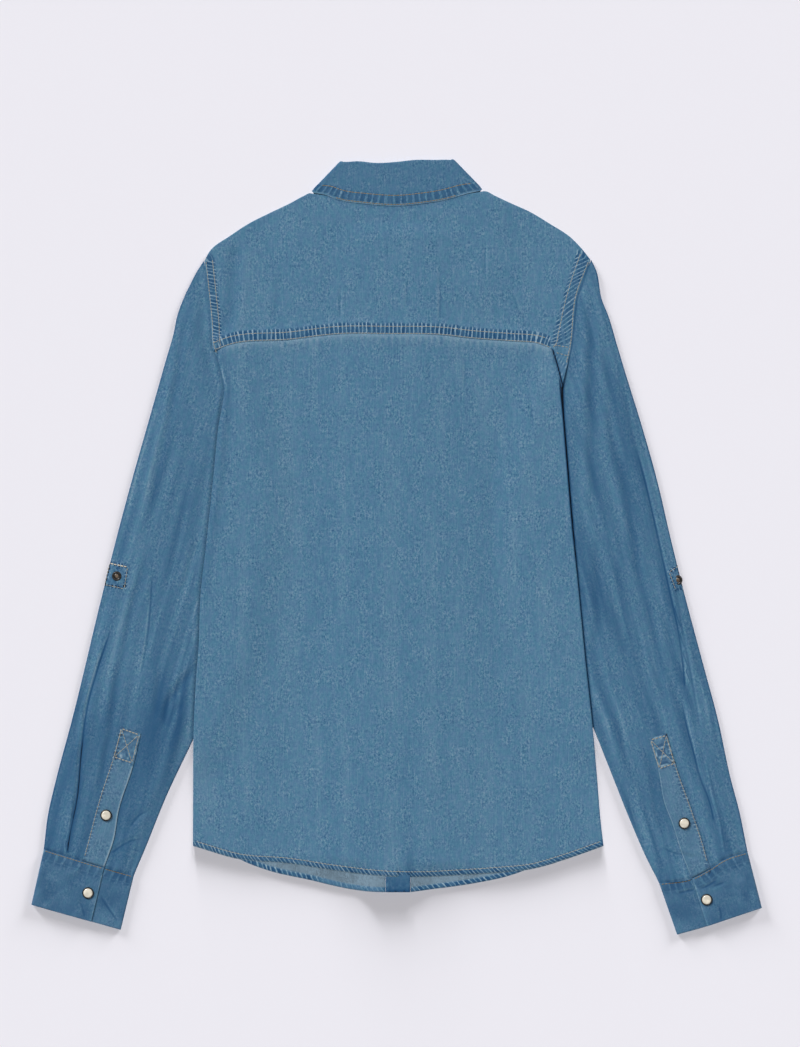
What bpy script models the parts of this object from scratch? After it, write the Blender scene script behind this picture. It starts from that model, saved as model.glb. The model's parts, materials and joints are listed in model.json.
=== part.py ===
"""A denim shirt with a lapped yoke, roll-up sleeves and pearl snaps, lying face down.

Its back is up and its collar points to +Y. The model is in metres, and the origin is the middle of
the shirt on the surface that it lies on. The tables are in millimetres: x runs to the right as seen
from above, y towards the collar, z up from the surface. "left" and "right" are the sides as seen
from above, which are also the wearer's own.
"""

import math
from collections import namedtuple

import bmesh
import bpy
import numpy as np
from mathutils import Matrix, Vector

MM = 0.001

# Walls and the air between them
CLOTH = 1.0
BAND = 1.2
GAP = 0.3

# Heights above the surface of the undersides of what lies in layers
EDGE_FOLD = 2.4  # a sleeve pressed flat at its edge: two layers and the air between
SLEEVE_FULL = 4.4  # a sleeve where it stands fullest
SIDE_LIFT = EDGE_FOLD + GAP  # the fronts over a sleeve tucked under the body
LEAF_LIFT = BAND + GAP  # the fronts over the collar leaves
TOP_BAND_LIFT = 1.8  # the front band that fastens on top, over the snap caps
UNDER_BAND_LIFT = TOP_BAND_LIFT + CLOTH + GAP
BACK_OVER_FRONT = 0.4
CENTRE_RISE = 3.3  # the back above its own level at the sides, over the two front bands
NECK_RISE = 1.7
LAP_RISE = CLOTH + GAP
LAP_WIDTH = 9.0
SOFT_MAX = 8  # the power that blends two rises into one

# Front bands
BAND_HALF = 12.3
PANEL_EDGE = BAND_HALF + GAP
HEM_Y = -345.0
NECK_Y = 278.0
TOP_BAND_RAMP = 27.0
UNDER_BAND_RAMP = 32.0

# Hem of the back, turned twice and sewn
HEM_WIDTH = 7.0
HEM_PROUD = 0.4

# How far a layer takes to come down from what lies under it
COVER_MARGIN = 4.0
FRONT_RAMP = 30.0
BACK_RAMP = 42.0
EDGE_RAMP = 18.0
BODY_RAMP = 22.0
SLEEVE_LEAN = 0.966  # cosine of a sleeve's slant, from a level distance to a square one

# Edges of the body: x, y from the hem up
SIDE_LEFT = [
    (-205, -299), (-204.8, -240), (-204.5, -193), (-202, -136), (-199, -95), (-197.5, -50),
    (-191, 9), (-184.3, 73), (-179.5, 120), (-174, 158), (-181, 189),
]
ARMHOLE_LEFT = [(-181, 189), (-185.5, 202), (-187, 224), (-190, 254), (-193.5, 286)]
SIDE_RIGHT = [
    (205.5, -299), (203, -278), (198, -218), (194.3, -178), (187.3, -114), (179.3, -32),
    (174.3, 17), (169, 80), (164.8, 131), (162, 159),
]
BACK_TOP_RIGHT = [(162, 159), (156.9, 180), (152.9, 194), (151, 206)]
ARMHOLE_RIGHT = [(164, 158), (170.5, 187), (173.5, 201), (179, 250), (192.5, 287)]

# Hems: x, y from left to right
BACK_HEM = [
    (-205, -299), (-157, -312.6), (-111, -316.4), (-65, -323.3), (-19, -328.7), (22, -330),
    (58, -328.4), (100, -325.6), (132, -322.5), (172, -311), (192, -304), (205.5, -299),
]
FRONT_HEM_LEFT = [
    (-204.3, -298), (-186, -303), (-168, -308), (-148, -317), (-128, -324), (-88, -333),
    (-48, -342), (-28, -344.5), (-PANEL_EDGE, HEM_Y),
]
FRONT_HEM_RIGHT = [
    (PANEL_EDGE, HEM_Y), (32, -342.5), (72, -337), (112, -328.5), (132, -321.5), (172, -310),
    (192, -303), (204.8, -298),
]

# Yoke, shoulders and neck: x, y from left to right
YOKE_EDGE = [
    (-184.5, 194), (-169, 200), (-108, 205.5), (-59, 211), (-10, 211), (46, 210), (72, 207),
    (112, 204), (142, 201), (153.5, 196.5),
]
YOKE_TAIL = [(153.5, 196.5), (158.5, 180), (163.6, 159.5)]
BACK_TOP = [
    (-185.4, 203), (-169, 209), (-108, 214.5), (-59, 220), (-10, 220), (46, 219), (72, 216),
    (112, 213), (142, 210), (151, 206),
]
SHOULDER_LEFT = [
    (-193.5, 286), (-188, 296), (-168, 311), (-148, 324), (-128, 334), (-108, 343.5),
    (-94, 351), (-88, 353.6), (-84.5, 353),
]
NECK_BACK = [(-84.5, 353), (-60, 350), (-30, 349.3), (0, 349.5), (40, 350.5), (65, 352.5), (82, 355)]
SHOULDER_RIGHT = [
    (82, 355), (87, 355.6), (97, 351), (112, 344), (132, 335), (152, 323), (172, 310), (183, 299),
    (192.5, 287),
]
NECK_FRONT_LEFT = [(-84, 352), (-79, 328), (-68, 307), (-50, 291), (-30, 281.5), (-PANEL_EDGE, NECK_Y)]
NECK_FRONT_RIGHT = [(PANEL_EDGE, NECK_Y), (30, 282), (50, 292), (67, 308), (77, 330), (81.5, 354)]

# Collar: the line of its fall along the neck and of its free edge, from one front end to the other.
# Between "front" and "back" rows it turns over the slanted fold at the side.
Station = namedtuple("Station", "place x_in y_in x_out y_out")
FALL_LEFT = [
    Station("front", -7, 305, -64, 262),
    Station("front", -18, 308.5, -70, 276),
    Station("front", -30, 318.5, -76, 291),
    Station("front", -41, 331, -81, 306),
    Station("front", -49.5, 347, -84, 323),
    Station("front", -54.5, 365, -86, 340),
]
FALL_BACK = [
    Station("back", -50, 384.9, -74, 352.2),
    Station("back", -41, 385.5, -60, 347.2),
    Station("back", -22, 383.8, -34, 343.2),
    Station("back", 0, 385, 0, 341),
    Station("back", 17, 386.8, 22, 343),
    Station("back", 36, 386.8, 48, 347.2),
    Station("back", 48, 387, 70, 353.4),
]
FALL_RIGHT = [
    Station("front", 54, 367, 84.5, 342),
    Station("front", 49, 349, 82.5, 325),
    Station("front", 40, 333, 78.5, 308),
    Station("front", 30, 320, 74, 293),
    Station("front", 18, 309.5, 69, 278),
    Station("front", 7, 305, 63, 263),
]
FALL_FOLD_LEFT = ((-58.5, 385), (-86.5, 356))
FALL_FOLD_RIGHT = ((56.4, 387), (84.5, 358))

# Collar stand: its edge on the neckline and its top edge, and its height over the surface
Rise = namedtuple("Rise", "x_low y_low x_top y_top z")
STAND_LEFT = [
    Rise(12, 278.5, 12, 303, UNDER_BAND_LIFT),
    Rise(-4, 278.5, -4, 303.2, UNDER_BAND_LIFT),
    Rise(-13, 278.6, -12.2, 304.2, UNDER_BAND_LIFT),
    Rise(-20, 279.8, -16.5, 306.5, 2.7),
    Rise(-30, 282.2, -23, 311.5, 1.7),
    Rise(-42, 287.2, -31, 319, LEAF_LIFT),
    Rise(-56, 296, -40, 329, LEAF_LIFT),
    Rise(-67.4, 308, -48, 342, LEAF_LIFT),
    Rise(-76.5, 324, -54, 357, LEAF_LIFT),
    Rise(-81.5, 340, -57, 371, LEAF_LIFT),
]
STAND_BACK_Z = 3.1
STAND_BACK = [
    Rise(-74, 352.2, -52, 383.4, STAND_BACK_Z),
    Rise(-58, 350.4, -41, 384, STAND_BACK_Z),
    Rise(-30, 349.8, -22, 382.4, STAND_BACK_Z),
    Rise(0, 350, 0, 383.6, STAND_BACK_Z),
    Rise(30, 350.8, 20, 385.4, STAND_BACK_Z),
    Rise(56, 352.4, 40, 385.4, STAND_BACK_Z),
    Rise(72, 354.2, 50, 385.4, STAND_BACK_Z),
]
STAND_RIGHT = [
    Rise(79, 341, 56, 372, LEAF_LIFT),
    Rise(74.5, 325.6, 53, 358, LEAF_LIFT),
    Rise(66.2, 309, 47, 343, LEAF_LIFT),
    Rise(56, 297.5, 40, 331, LEAF_LIFT),
    Rise(42, 288, 31, 320, LEAF_LIFT),
    Rise(30, 282.8, 23, 312, LEAF_LIFT),
    Rise(20, 280.3, 17, 307, LEAF_LIFT),
    Rise(12.6, 278.7, 12.2, 304, LEAF_LIFT),
    Rise(0, 278.5, 0, 303.4, LEAF_LIFT),
    Rise(-12, 278.5, -12, 303.4, LEAF_LIFT),
]
FOLD_HEIGHT = 2.9  # middle of the slanted fold at the side of the neck
FALL_FOLD_RADIUS = 2.3
STAND_FOLD_RADIUS = 0.8
STAND_SHORT = 1.4  # the stand's fold ends this much inside the fall's
FOLD_STEPS = 4

# Where the collar leaves and the neck hold the layers above them apart
LEAF_LEFT = [(-92, 355), (-92, 322), (-84, 286), (-67, 252), (0, 302), (-42, 335), (-60, 385)]
LEAF_RIGHT = [(90, 357), (90, 323), (82, 287), (66, 253), (0, 302), (40, 335), (58, 387)]
NECK_PLATE = [(-90, 338), (88, 340), (90, 362), (-90, 360)]
DOME_HALF = 16.0
DOME_REACH = 94.0
DOME_END = 308.0
DOME_FADE = 34.0

# Sleeves: outer and inner edge from armhole to cuff, the seam and the hem of the cuff from the
# outer side to the inner, the part hidden under the body, the two edges of the placket strip,
# the creases pressed in deepest, and where the snaps sit
Sleeve = namedtuple(
    "Sleeve",
    "name sign outer inner armhole body seam cuff_hem lap hidden strip_left strip_right"
    " folds placket_snap cuff_snap tab_snap",
)
Fold = namedtuple("Fold", "depth reach line")
LEFT = Sleeve(
    name="left",
    sign=-1,
    outer=[
        (-194.1, 286), (-200, 277), (-208, 262), (-215, 247), (-221, 230), (-224, 215), (-232, 187),
        (-249, 127), (-266, 67), (-282, 7), (-297, -53), (-326, -173), (-342, -233), (-350, -268),
        (-354, -301.5),
    ],
    inner=[
        (-182, 188.4), (-170, 172), (-157, 127), (-146, 60), (-149, 0), (-158, -53), (-173, -113),
        (-190, -160), (-205, -193), (-231, -248), (-255, -307), (-264, -328),
    ],
    armhole=[(-194.1, 286), (-190.9, 254), (-188, 224), (-186.4, 203), (-182, 188.4)],
    body=SIDE_LEFT + ARMHOLE_LEFT[1:],
    seam=[(-354.1, -302), (-324, -311.3), (-293, -320.5), (-264.1, -328.6)],
    cuff_hem=[(-366.5, -357.6), (-337, -366), (-306.5, -374.5), (-277.2, -382.7)],
    lap=63.0,
    hidden=[
        (-181, 189), (-168, 175), (-155, 127), (-144, 60), (-147, 0), (-156, -53), (-171, -113),
        (-188, -160), (-203, -194), (-216, -193), (-210, -60), (-198, 73), (-190, 150),
    ],
    strip_left=[(-277, -179), (-285.5, -211), (-298, -249), (-314, -308), (-315.2, -312.2)],
    strip_right=[(-257, -186), (-264.5, -218), (-279, -263), (-284, -292), (-293.2, -318.6)],
    folds=[
        Fold(1.3, 8, [(-285, -76), (-296, -117), (-310, -161), (-314, -202), (-319, -243), (-331, -301)]),
        Fold(0.9, 9, [(-214, -87), (-230, -147), (-233, -185)]),
        Fold(0.8, 10, [(-209, 239), (-219, 180), (-228, 136)]),
    ],
    placket_snap=(-291.6, -268),
    cuff_snap=(-309.7, -345.7),
    tab_snap=(-281, -29),
)
RIGHT = Sleeve(
    name="right",
    sign=1,
    outer=[
        (193.2, 287), (198, 277), (204, 247), (210, 232), (219, 202), (228, 172), (242, 127), (259, 67),
        (273, 7), (288, -53), (304, -113), (320, -173), (333, -233), (341, -263), (349.3, -304),
    ],
    inner=[
        (164.8, 157.4), (150, 117), (135, 60), (137, 0), (148, -53), (163, -103), (182, -152),
        (196, -183), (210, -218), (234, -278), (247, -308), (261, -335.6),
    ],
    armhole=[(193.2, 287), (180, 250), (174.6, 201), (171.6, 187), (164.8, 157.4)],
    body=SIDE_RIGHT[:-1] + ARMHOLE_RIGHT,
    seam=[(349.4, -304.5), (325, -313), (312, -321.5), (294, -331), (261.1, -336.2)],
    cuff_hem=[(363.8, -360.8), (336, -370), (306, -380), (279, -387.5)],
    lap=61.0,
    hidden=[
        (164, 158), (147, 117), (132, 60), (134, 0), (145, -53), (160, -103), (179, -152),
        (193, -185), (207, -183), (195, -60), (187, 60), (177, 130),
    ],
    strip_left=[(250.5, -191), (260.6, -225), (266, -255), (274, -276), (283, -304.5), (292, -327)],
    strip_right=[(268.5, -186), (278, -218), (294, -263), (304, -293), (310.6, -317)],
    folds=[
        Fold(1.3, 8, [(262, -38), (273, -92), (281, -128), (290, -180), (299, -215), (317, -286), (321, -308)]),
        Fold(0.9, 10, [(231, 17), (243, -54), (257, -128), (268, -161)]),
        Fold(0.8, 10, [(190, 278), (189.7, 190), (192.7, 108), (198, 20)]),
    ],
    placket_snap=(286, -276),
    cuff_snap=(308.4, -352.4),
    tab_snap=(279.6, -33),
)
TAB_RAMP = 10.0  # the sleeve rises sooner from its edge over the strap of the roll-up tab
TAB_REACH = 26.0

# Cuff heights: the lower layer lies on the surface
CUFF_UNDER = BAND + 0.4
CUFF_TOP = CUFF_UNDER + BAND + GAP
CUFF_LAP_UNDER = 20.0

# Snaps
RIM_RADIUS = 5.8
RIM_INNER = 4.8
RIM_HEIGHT = 1.3
PEARL_RADIUS = 4.6
PEARL_HEIGHT = 1.9
TAB_RADIUS = 4.8
TAB_HEIGHT = 1.1
CAP_RADIUS = 5.6
CAP_HEIGHT = 1.5
SNAP_SIDES = 16
FRONT_SNAPS = 7
FRONT_SNAP_TOP_Y = 238.0
FRONT_SNAP_STEP = 82.0
STAND_SNAP_Y = 291.0

# Grid lines of the panels, as fractions from side to side and from hem to top
SIDE_LINES = [0, 0.045, 0.09, 0.135, 0.18, 0.225, 0.27, 0.32, 0.38, 0.45]
BACK_COLUMNS = [u / 2 for u in SIDE_LINES] + [0.27, 0.32, 0.37, 0.42, 0.46, 0.5]
BACK_COLUMNS = BACK_COLUMNS + [1 - u for u in reversed(BACK_COLUMNS[:-1])]
BACK_ROWS = [
    0, 0.013, 0.017, 0.05, 0.09, 0.13, 0.17, 0.21, 0.25, 0.3, 0.36, 0.43, 0.5, 0.57, 0.64, 0.71,
    0.78, 0.83, 0.87, 0.912, 0.942, 0.972, 1,
]
SIDE_SPLIT_LEFT = 0.972
SIDE_SPLIT_RIGHT = 0.912
FRONT_COLUMNS = SIDE_LINES + [0.52, 0.6, 0.68, 0.76, 0.83, 0.88, 0.92, 0.96, 1]
FRONT_ROWS = [
    0, 0.05, 0.09, 0.13, 0.17, 0.21, 0.26, 0.32, 0.39, 0.46, 0.53, 0.6, 0.66, 0.71, 0.75, 0.79, 0.83,
    0.87, 0.91, 0.95, 1,
]
FRONT_SPLIT_LEFT = 0.83
FRONT_SPLIT_RIGHT = 0.79
SHOULDER_SPLIT = 0.52
YOKE_COLUMNS = [
    0, 0.04, 0.09, 0.14, 0.19, 0.24, 0.28, 0.32, 0.36, 0.4, 0.44, 0.48, 0.52, 0.56, 0.6, 0.64, 0.68,
    0.72, 0.76, 0.81, 0.86, 0.9, 0.95, 1,
]
YOKE_ROWS = [0, 0.06, 0.12, 0.2, 0.3, 0.42, 0.54, 0.66, 0.76, 0.86, 1]
YOKE_NECK_START = 0.28
YOKE_NECK_END = 0.72
YOKE_TAIL_START = 0.9
SLEEVE_TOP_COLUMNS = [0, 0.05, 0.1, 0.15, 0.2, 0.25, 0.31, 0.38, 0.47, 0.57, 0.67, 0.77, 0.86, 0.93, 1]
SLEEVE_BOTTOM_COLUMNS = [1, 0.75, 0.5, 0.25, 0]
SLEEVE_ROWS = [
    0, 0.02, 0.05, 0.09, 0.14, 0.2, 0.27, 0.34, 0.41, 0.46, 0.5, 0.54, 0.6, 0.67, 0.74, 0.81, 0.88, 0.94, 1,
]
CUFF_ROWS = [0, 0.35, 0.7, 1]


def smooth(t):
    """A soft step from 0 to 1."""
    t = np.clip(t, 0, 1)
    return t * t * (3 - 2 * t)


def spline(points, t):
    """Places at t, from 0 to 1 by length, on a smooth curve through the points."""
    points = np.asarray(points, float)
    t = np.clip(np.asarray(t, float), 0, 1)
    knots = np.concatenate([[0], np.cumsum(np.linalg.norm(np.diff(points, axis=0), axis=1))])
    knots /= knots[-1]
    slopes = np.gradient(points, knots, axis=0)
    i = np.clip(np.searchsorted(knots, t, side="right") - 1, 0, len(knots) - 2)
    span = knots[i + 1] - knots[i]
    s = ((t - knots[i]) / span)[:, None]
    span = span[:, None]
    return (
        points[i] * (1 + 2 * s) * (1 - s) ** 2
        + points[i + 1] * (3 - 2 * s) * s**2
        + slopes[i] * span * s * (1 - s) ** 2
        - slopes[i + 1] * span * (1 - s) * s**2
    )


def curve(*pieces):
    """A curve of one or more splines, each given as (points, t where it ends)."""

    def at(t):
        t = np.asarray(t, float)
        places = np.zeros((len(t), 2))
        start = 0.0
        for points, end in pieces:
            inside = (t >= start - 1e-9) & (t <= end + 1e-9)
            places[inside] = spline(points, (t[inside] - start) / (end - start))
            start = end
        return places

    return at


def patch(u, v, bottom, top, left, right):
    """Places inside four edge curves that meet at their corners (a Coons patch)."""
    ends = np.array([0.0, 1.0])
    low, high = bottom(ends), top(ends)
    u = np.asarray(u, float)
    v = np.asarray(v, float)
    across, up = u[:, None], v[:, None]
    ruled = (1 - up) * bottom(u) + up * top(u) + (1 - across) * left(v) + across * right(v)
    corners = (1 - up) * ((1 - across) * low[0] + across * low[1])
    corners += up * ((1 - across) * high[0] + across * high[1])
    return ruled - corners


def reach_from(x, y, outline):
    """How far places lie from a closed outline: zero inside it."""
    nearest = np.full(x.shape, np.inf)
    inside = np.zeros(x.shape, bool)
    corners = np.asarray(outline, float)
    for (ax, ay), (bx, by) in zip(corners, np.roll(corners, -1, axis=0)):
        nearest = np.minimum(nearest, to_segment(x, y, ax, ay, bx, by)[0])
        crosses = (ay > y) != (by > y)
        inside ^= crosses & (x < ax + (y - ay) * (bx - ax) / (by - ay if by != ay else 1))
    return np.where(inside, 0, nearest)


def to_segment(x, y, ax, ay, bx, by):
    """Distance to a segment, and how far along it the nearest point lies, from 0 to 1."""
    along = ((x - ax) * (bx - ax) + (y - ay) * (by - ay)) / ((bx - ax) ** 2 + (by - ay) ** 2)
    along = np.clip(along, 0, 1)
    return np.hypot(x - ax - along * (bx - ax), y - ay - along * (by - ay)), along


def cover(x, y, outline, height, ramp):
    """The rise of a layer that lies over an outline and comes down around it."""
    return height * (1 - smooth((reach_from(x, y, outline) - COVER_MARGIN) / ramp))


def crease(x, y, fold):
    """Depth of a soft trough along a line, fading out at its two ends."""
    depth = np.zeros(x.shape)
    pieces = len(fold.line) - 1
    for i, ((ax, ay), (bx, by)) in enumerate(zip(fold.line, fold.line[1:])):
        distance, along = to_segment(x, y, ax, ay, bx, by)
        along = (i + along) / pieces
        fade = smooth(along / 0.25) * smooth((1 - along) / 0.25)
        depth = np.maximum(depth, fold.depth * fade * (1 - smooth(distance / fold.reach)))
    return depth


def blend(*rises):
    """The largest of several rises, with soft joins."""
    return sum(np.maximum(rise, 0) ** SOFT_MAX for rise in rises) ** (1 / SOFT_MAX)


def front_lift(x, y):
    """Underside of the fronts: on the surface, over the leaves, sleeves and band."""
    left_band = UNDER_BAND_LIFT * smooth((UNDER_BAND_RAMP + PANEL_EDGE + x) / UNDER_BAND_RAMP)
    right_band = TOP_BAND_LIFT * smooth((TOP_BAND_RAMP + PANEL_EDGE - x) / TOP_BAND_RAMP)
    return blend(
        cover(x, y, LEFT.hidden, SIDE_LIFT, FRONT_RAMP),
        cover(x, y, RIGHT.hidden, SIDE_LIFT, FRONT_RAMP),
        cover(x, y, LEAF_LEFT, LEAF_LIFT, FRONT_RAMP),
        cover(x, y, LEAF_RIGHT, LEAF_LIFT, FRONT_RAMP),
        np.where(x < 0, left_band, right_band),
    )


def back_lift(x, y):
    """Underside of the back and the yoke above what they lie on."""
    dome = 1 - smooth((np.abs(x) - DOME_HALF) / DOME_REACH)
    dome = dome * (1 - smooth((y - DOME_END) / DOME_FADE))
    return (
        CLOTH
        + BACK_OVER_FRONT
        + blend(
            cover(x, y, LEFT.hidden, SIDE_LIFT, BACK_RAMP),
            cover(x, y, RIGHT.hidden, SIDE_LIFT, BACK_RAMP),
            cover(x, y, LEAF_LEFT, LEAF_LIFT, BACK_RAMP),
            cover(x, y, LEAF_RIGHT, LEAF_LIFT, BACK_RAMP),
            cover(x, y, NECK_PLATE, NECK_RISE, BACK_RAMP),
            CENTRE_RISE * dome,
        )
    )


def yoke_lift(x, y):
    """Underside of the yoke, which laps over the top of the back."""
    edge = np.asarray(YOKE_EDGE, float)
    above = y - np.interp(x, edge[:, 0], edge[:, 1])
    lapped = 1 - smooth((above - LAP_WIDTH - 1) / LAP_WIDTH)
    lapped = lapped * (1 - smooth((x - edge[-1, 0]) / (YOKE_TAIL[-1][0] - edge[-1, 0])))
    return back_lift(x, y) + LAP_RISE * lapped


def edge_x(points, y):
    """x of an edge at a given y, for an edge that runs steadily up or down."""
    points = np.asarray(sorted(points, key=lambda point: point[1]), float)
    return np.interp(y, points[:, 1], points[:, 0])


def sleeve_top(sleeve, x, y):
    """Top of a sleeve's upper wall: full in the middle, flat at its edges and by the body."""
    from_outer = sleeve.sign * (edge_x(sleeve.outer, y) - x) * SLEEVE_LEAN
    from_inner = sleeve.sign * (x - edge_x(sleeve.inner, y)) * SLEEVE_LEAN
    from_body = sleeve.sign * (x - edge_x(sleeve.body, y))
    near_tab = 1 - smooth(np.abs(y - sleeve.tab_snap[1]) / TAB_REACH)
    full = smooth(from_outer / (EDGE_RAMP + (TAB_RAMP - EDGE_RAMP) * near_tab))
    full = full * smooth(from_inner / EDGE_RAMP) * smooth((from_body - 1) / BODY_RAMP)
    top = EDGE_FOLD + (SLEEVE_FULL - EDGE_FOLD) * full
    for fold in sleeve.folds:
        top = top - crease(x, y, fold)
    return np.maximum(top, EDGE_FOLD)


def finish(name, work, material, collection):
    """Turns a bmesh into a named object of the shirt."""
    bmesh.ops.recalc_face_normals(work, faces=work.faces[:])
    if work.calc_volume(signed=True) < 0:
        bmesh.ops.reverse_faces(work, faces=work.faces[:])
    mesh = bpy.data.meshes.new(name)
    work.to_mesh(mesh)
    work.free()
    mesh.materials.append(material)
    mesh.shade_smooth()
    mesh.set_sharp_from_angle(angle=math.radians(40))
    piece = bpy.data.objects.new(name, mesh)
    collection.objects.link(piece)
    return piece


def wall(name, columns, rows, outer, inner, material, collection, tube=False):
    """A wall of cloth between two bent grids: outer(u, v) and inner(u, v) give its faces."""
    work = bmesh.new()
    u_of = work.verts.layers.float.new("u")
    v_of = work.verts.layers.float.new("v")
    last_column, last_row = len(columns) - 1, len(rows) - 1
    bmesh.ops.create_grid(work, x_segments=last_column, y_segments=last_row, size=0.5)
    for vert in work.verts:
        vert[u_of] = columns[round((vert.co.x + 0.5) * last_column)]
        vert[v_of] = rows[round((vert.co.y + 0.5) * last_row)]
        if tube:
            turn = (vert.co.x + 0.5) * 2 * math.pi
            vert.co = (math.cos(turn), math.sin(turn), vert.co.y)
    if tube:
        bmesh.ops.remove_doubles(work, verts=work.verts[:], dist=1e-4)
    outside = list(work.verts)
    bmesh.ops.extrude_face_region(work, geom=work.faces[:], use_keep_orig=True)
    kept = set(outside)
    inside = [vert for vert in work.verts if vert not in kept]
    for verts, shape in ((outside, outer), (inside, inner)):
        u = np.array([vert[u_of] for vert in verts])
        v = np.array([vert[v_of] for vert in verts])
        for vert, place in zip(verts, shape(u, v) * MM):
            vert.co = place
    work.verts.layers.float.remove(work.verts.layers.float["u"])
    work.verts.layers.float.remove(work.verts.layers.float["v"])
    return finish(name, work, material, collection)


def sheet(name, columns, rows, plan, underside, material, collection, thickness=None):
    """A panel that lies flat: plan(u, v) gives its x and y, underside(x, y) its height."""

    def face(proud):
        def shape(u, v):
            places = plan(u, v)
            x, y = places[:, 0], places[:, 1]
            added = proud(x, y) if callable(proud) else proud
            return np.column_stack([x, y, underside(x, y) + added])

        return shape

    return wall(
        name, columns, rows, face(CLOTH if thickness is None else thickness), face(0.0), material, collection
    )


def make_back(denim, shirt):
    def plan(u, v):
        return patch(
            u,
            v,
            curve((BACK_HEM, 1)),
            curve((BACK_TOP, 1)),
            curve((SIDE_LEFT, SIDE_SPLIT_LEFT), ([SIDE_LEFT[-1], (-184, 197), BACK_TOP[0]], 1)),
            curve((SIDE_RIGHT, SIDE_SPLIT_RIGHT), (BACK_TOP_RIGHT, 1)),
        )

    def thickness(x, y):
        hem = np.asarray(BACK_HEM, float)
        above = y - np.interp(x, hem[:, 0], hem[:, 1])
        return CLOTH + HEM_PROUD * (1 - smooth((above - HEM_WIDTH) / 1.5))

    return sheet("back", BACK_COLUMNS, BACK_ROWS, plan, back_lift, denim, shirt, thickness)


def make_yoke(denim, shirt):
    def plan(u, v):
        return patch(
            u,
            v,
            curve((YOKE_EDGE, YOKE_TAIL_START), (YOKE_TAIL, 1)),
            curve(
                (SHOULDER_LEFT, YOKE_NECK_START), (NECK_BACK, YOKE_NECK_END), (SHOULDER_RIGHT, 1)
            ),
            curve(([YOKE_EDGE[0]] + ARMHOLE_LEFT[1:], 1)),
            curve(([YOKE_TAIL[-1]] + ARMHOLE_RIGHT[1:], 1)),
        )

    return sheet("yoke", YOKE_COLUMNS, YOKE_ROWS, plan, yoke_lift, denim, shirt)


def make_fronts(denim, shirt):
    inset = 0.8
    left_side = [(x + inset, y) for x, y in SIDE_LEFT]
    left_arm = [left_side[-1]] + [(x + 1.5 * inset, y - inset) for x, y in ARMHOLE_LEFT[1:]]
    left_top = [left_arm[-1]] + [(x, y - inset) for x, y in SHOULDER_LEFT[1:-1]] + [NECK_FRONT_LEFT[0]]
    right_side = [(x - inset, y) for x, y in SIDE_RIGHT[:-1]] + [ARMHOLE_RIGHT[0]]
    right_arm = [ARMHOLE_RIGHT[0]] + [(x - 1.5 * inset, y - inset) for x, y in ARMHOLE_RIGHT[1:]]
    right_top = [NECK_FRONT_RIGHT[-1]] + [(x, y - inset) for x, y in SHOULDER_RIGHT[1:-1]] + [right_arm[-1]]

    def left_plan(u, v):
        return patch(
            u,
            v,
            curve(([left_side[0]] + FRONT_HEM_LEFT[1:], 1)),
            curve((left_top, SHOULDER_SPLIT), (NECK_FRONT_LEFT, 1)),
            curve((left_side, FRONT_SPLIT_LEFT), (left_arm, 1)),
            curve(([FRONT_HEM_LEFT[-1], NECK_FRONT_LEFT[-1]], 1)),
        )

    def right_plan(u, v):
        return patch(
            u,
            v,
            curve((FRONT_HEM_RIGHT[:-1] + [right_side[0]], 1)),
            curve((NECK_FRONT_RIGHT, 1 - SHOULDER_SPLIT), (right_top, 1)),
            curve(([FRONT_HEM_RIGHT[0], NECK_FRONT_RIGHT[0]], 1)),
            curve((right_side, FRONT_SPLIT_RIGHT), (right_arm, 1)),
        )

    sheet("front_left", FRONT_COLUMNS, FRONT_ROWS, left_plan, front_lift, denim, shirt)
    mirrored = [1 - u for u in reversed(FRONT_COLUMNS)]
    sheet("front_right", mirrored, FRONT_ROWS, right_plan, front_lift, denim, shirt)


def make_bands(denim, shirt):
    """The two front bands, one over the other down the middle."""
    for name, height in (("placket_top", TOP_BAND_LIFT), ("placket_under", UNDER_BAND_LIFT)):

        def plan(u, v):
            x = BAND_HALF * (2 * u - 1)
            return np.column_stack([x, HEM_Y + v * (NECK_Y - HEM_Y)])

        def flat(x, y, height=height):
            return np.full(x.shape, height)

        sheet(name, [0, 0.5, 1], np.linspace(0, 1, 13), plan, flat, denim, shirt)


def fold_stations(fold, radius, short, to_back):
    """Middle-of-cloth lines of a band as it turns over a slanted fold at the side of the neck."""
    top, low = (np.array(end, float) for end in fold)
    along = (low - top) / np.linalg.norm(low - top)
    outward = np.array([-along[1], along[0]])
    outward = outward * np.sign(outward[0] * low[0])
    top = top - outward * FOLD_HEIGHT + along * short
    low = low - outward * FOLD_HEIGHT - along * short
    lines = []
    for step in range(FOLD_STEPS + 1):
        turn = math.pi * step / FOLD_STEPS
        out = outward * radius * math.sin(turn)
        z = FOLD_HEIGHT - radius * math.cos(turn)
        lines.append([*(top + out), z, *(low + out), z])
    return lines if to_back else lines[::-1]


def band_wall(name, lines, rows, thickness, material, collection):
    """A band through a row of lines, each x, y, z of one edge and x, y, z of the other."""
    lines = np.array(lines, float)
    lengths = np.linalg.norm(np.diff(lines[:, :3] + lines[:, 3:], axis=0), axis=1)
    knots = np.concatenate([[0], np.cumsum(lengths)])
    knots /= knots[-1]

    def middle(u, v):
        ends = np.column_stack([np.interp(u, knots, lines[:, i]) for i in range(6)])
        return ends[:, :3] * (1 - v[:, None]) + ends[:, 3:] * v[:, None]

    slopes = np.gradient(lines, knots, axis=0)

    def face(side):
        def shape(u, v):
            turn = np.column_stack([np.interp(u, knots, slopes[:, i]) for i in range(6)])
            along = turn[:, :3] * (1 - v[:, None]) + turn[:, 3:] * v[:, None]
            down = middle(u, v * 0 + 1) - middle(u, v * 0)
            normal = np.cross(along, down)
            normal /= np.linalg.norm(normal, axis=1)[:, None]
            return middle(u, v) + normal * side * thickness / 2

        return shape

    return wall(name, knots, rows, face(1), face(-1), material, collection)


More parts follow.
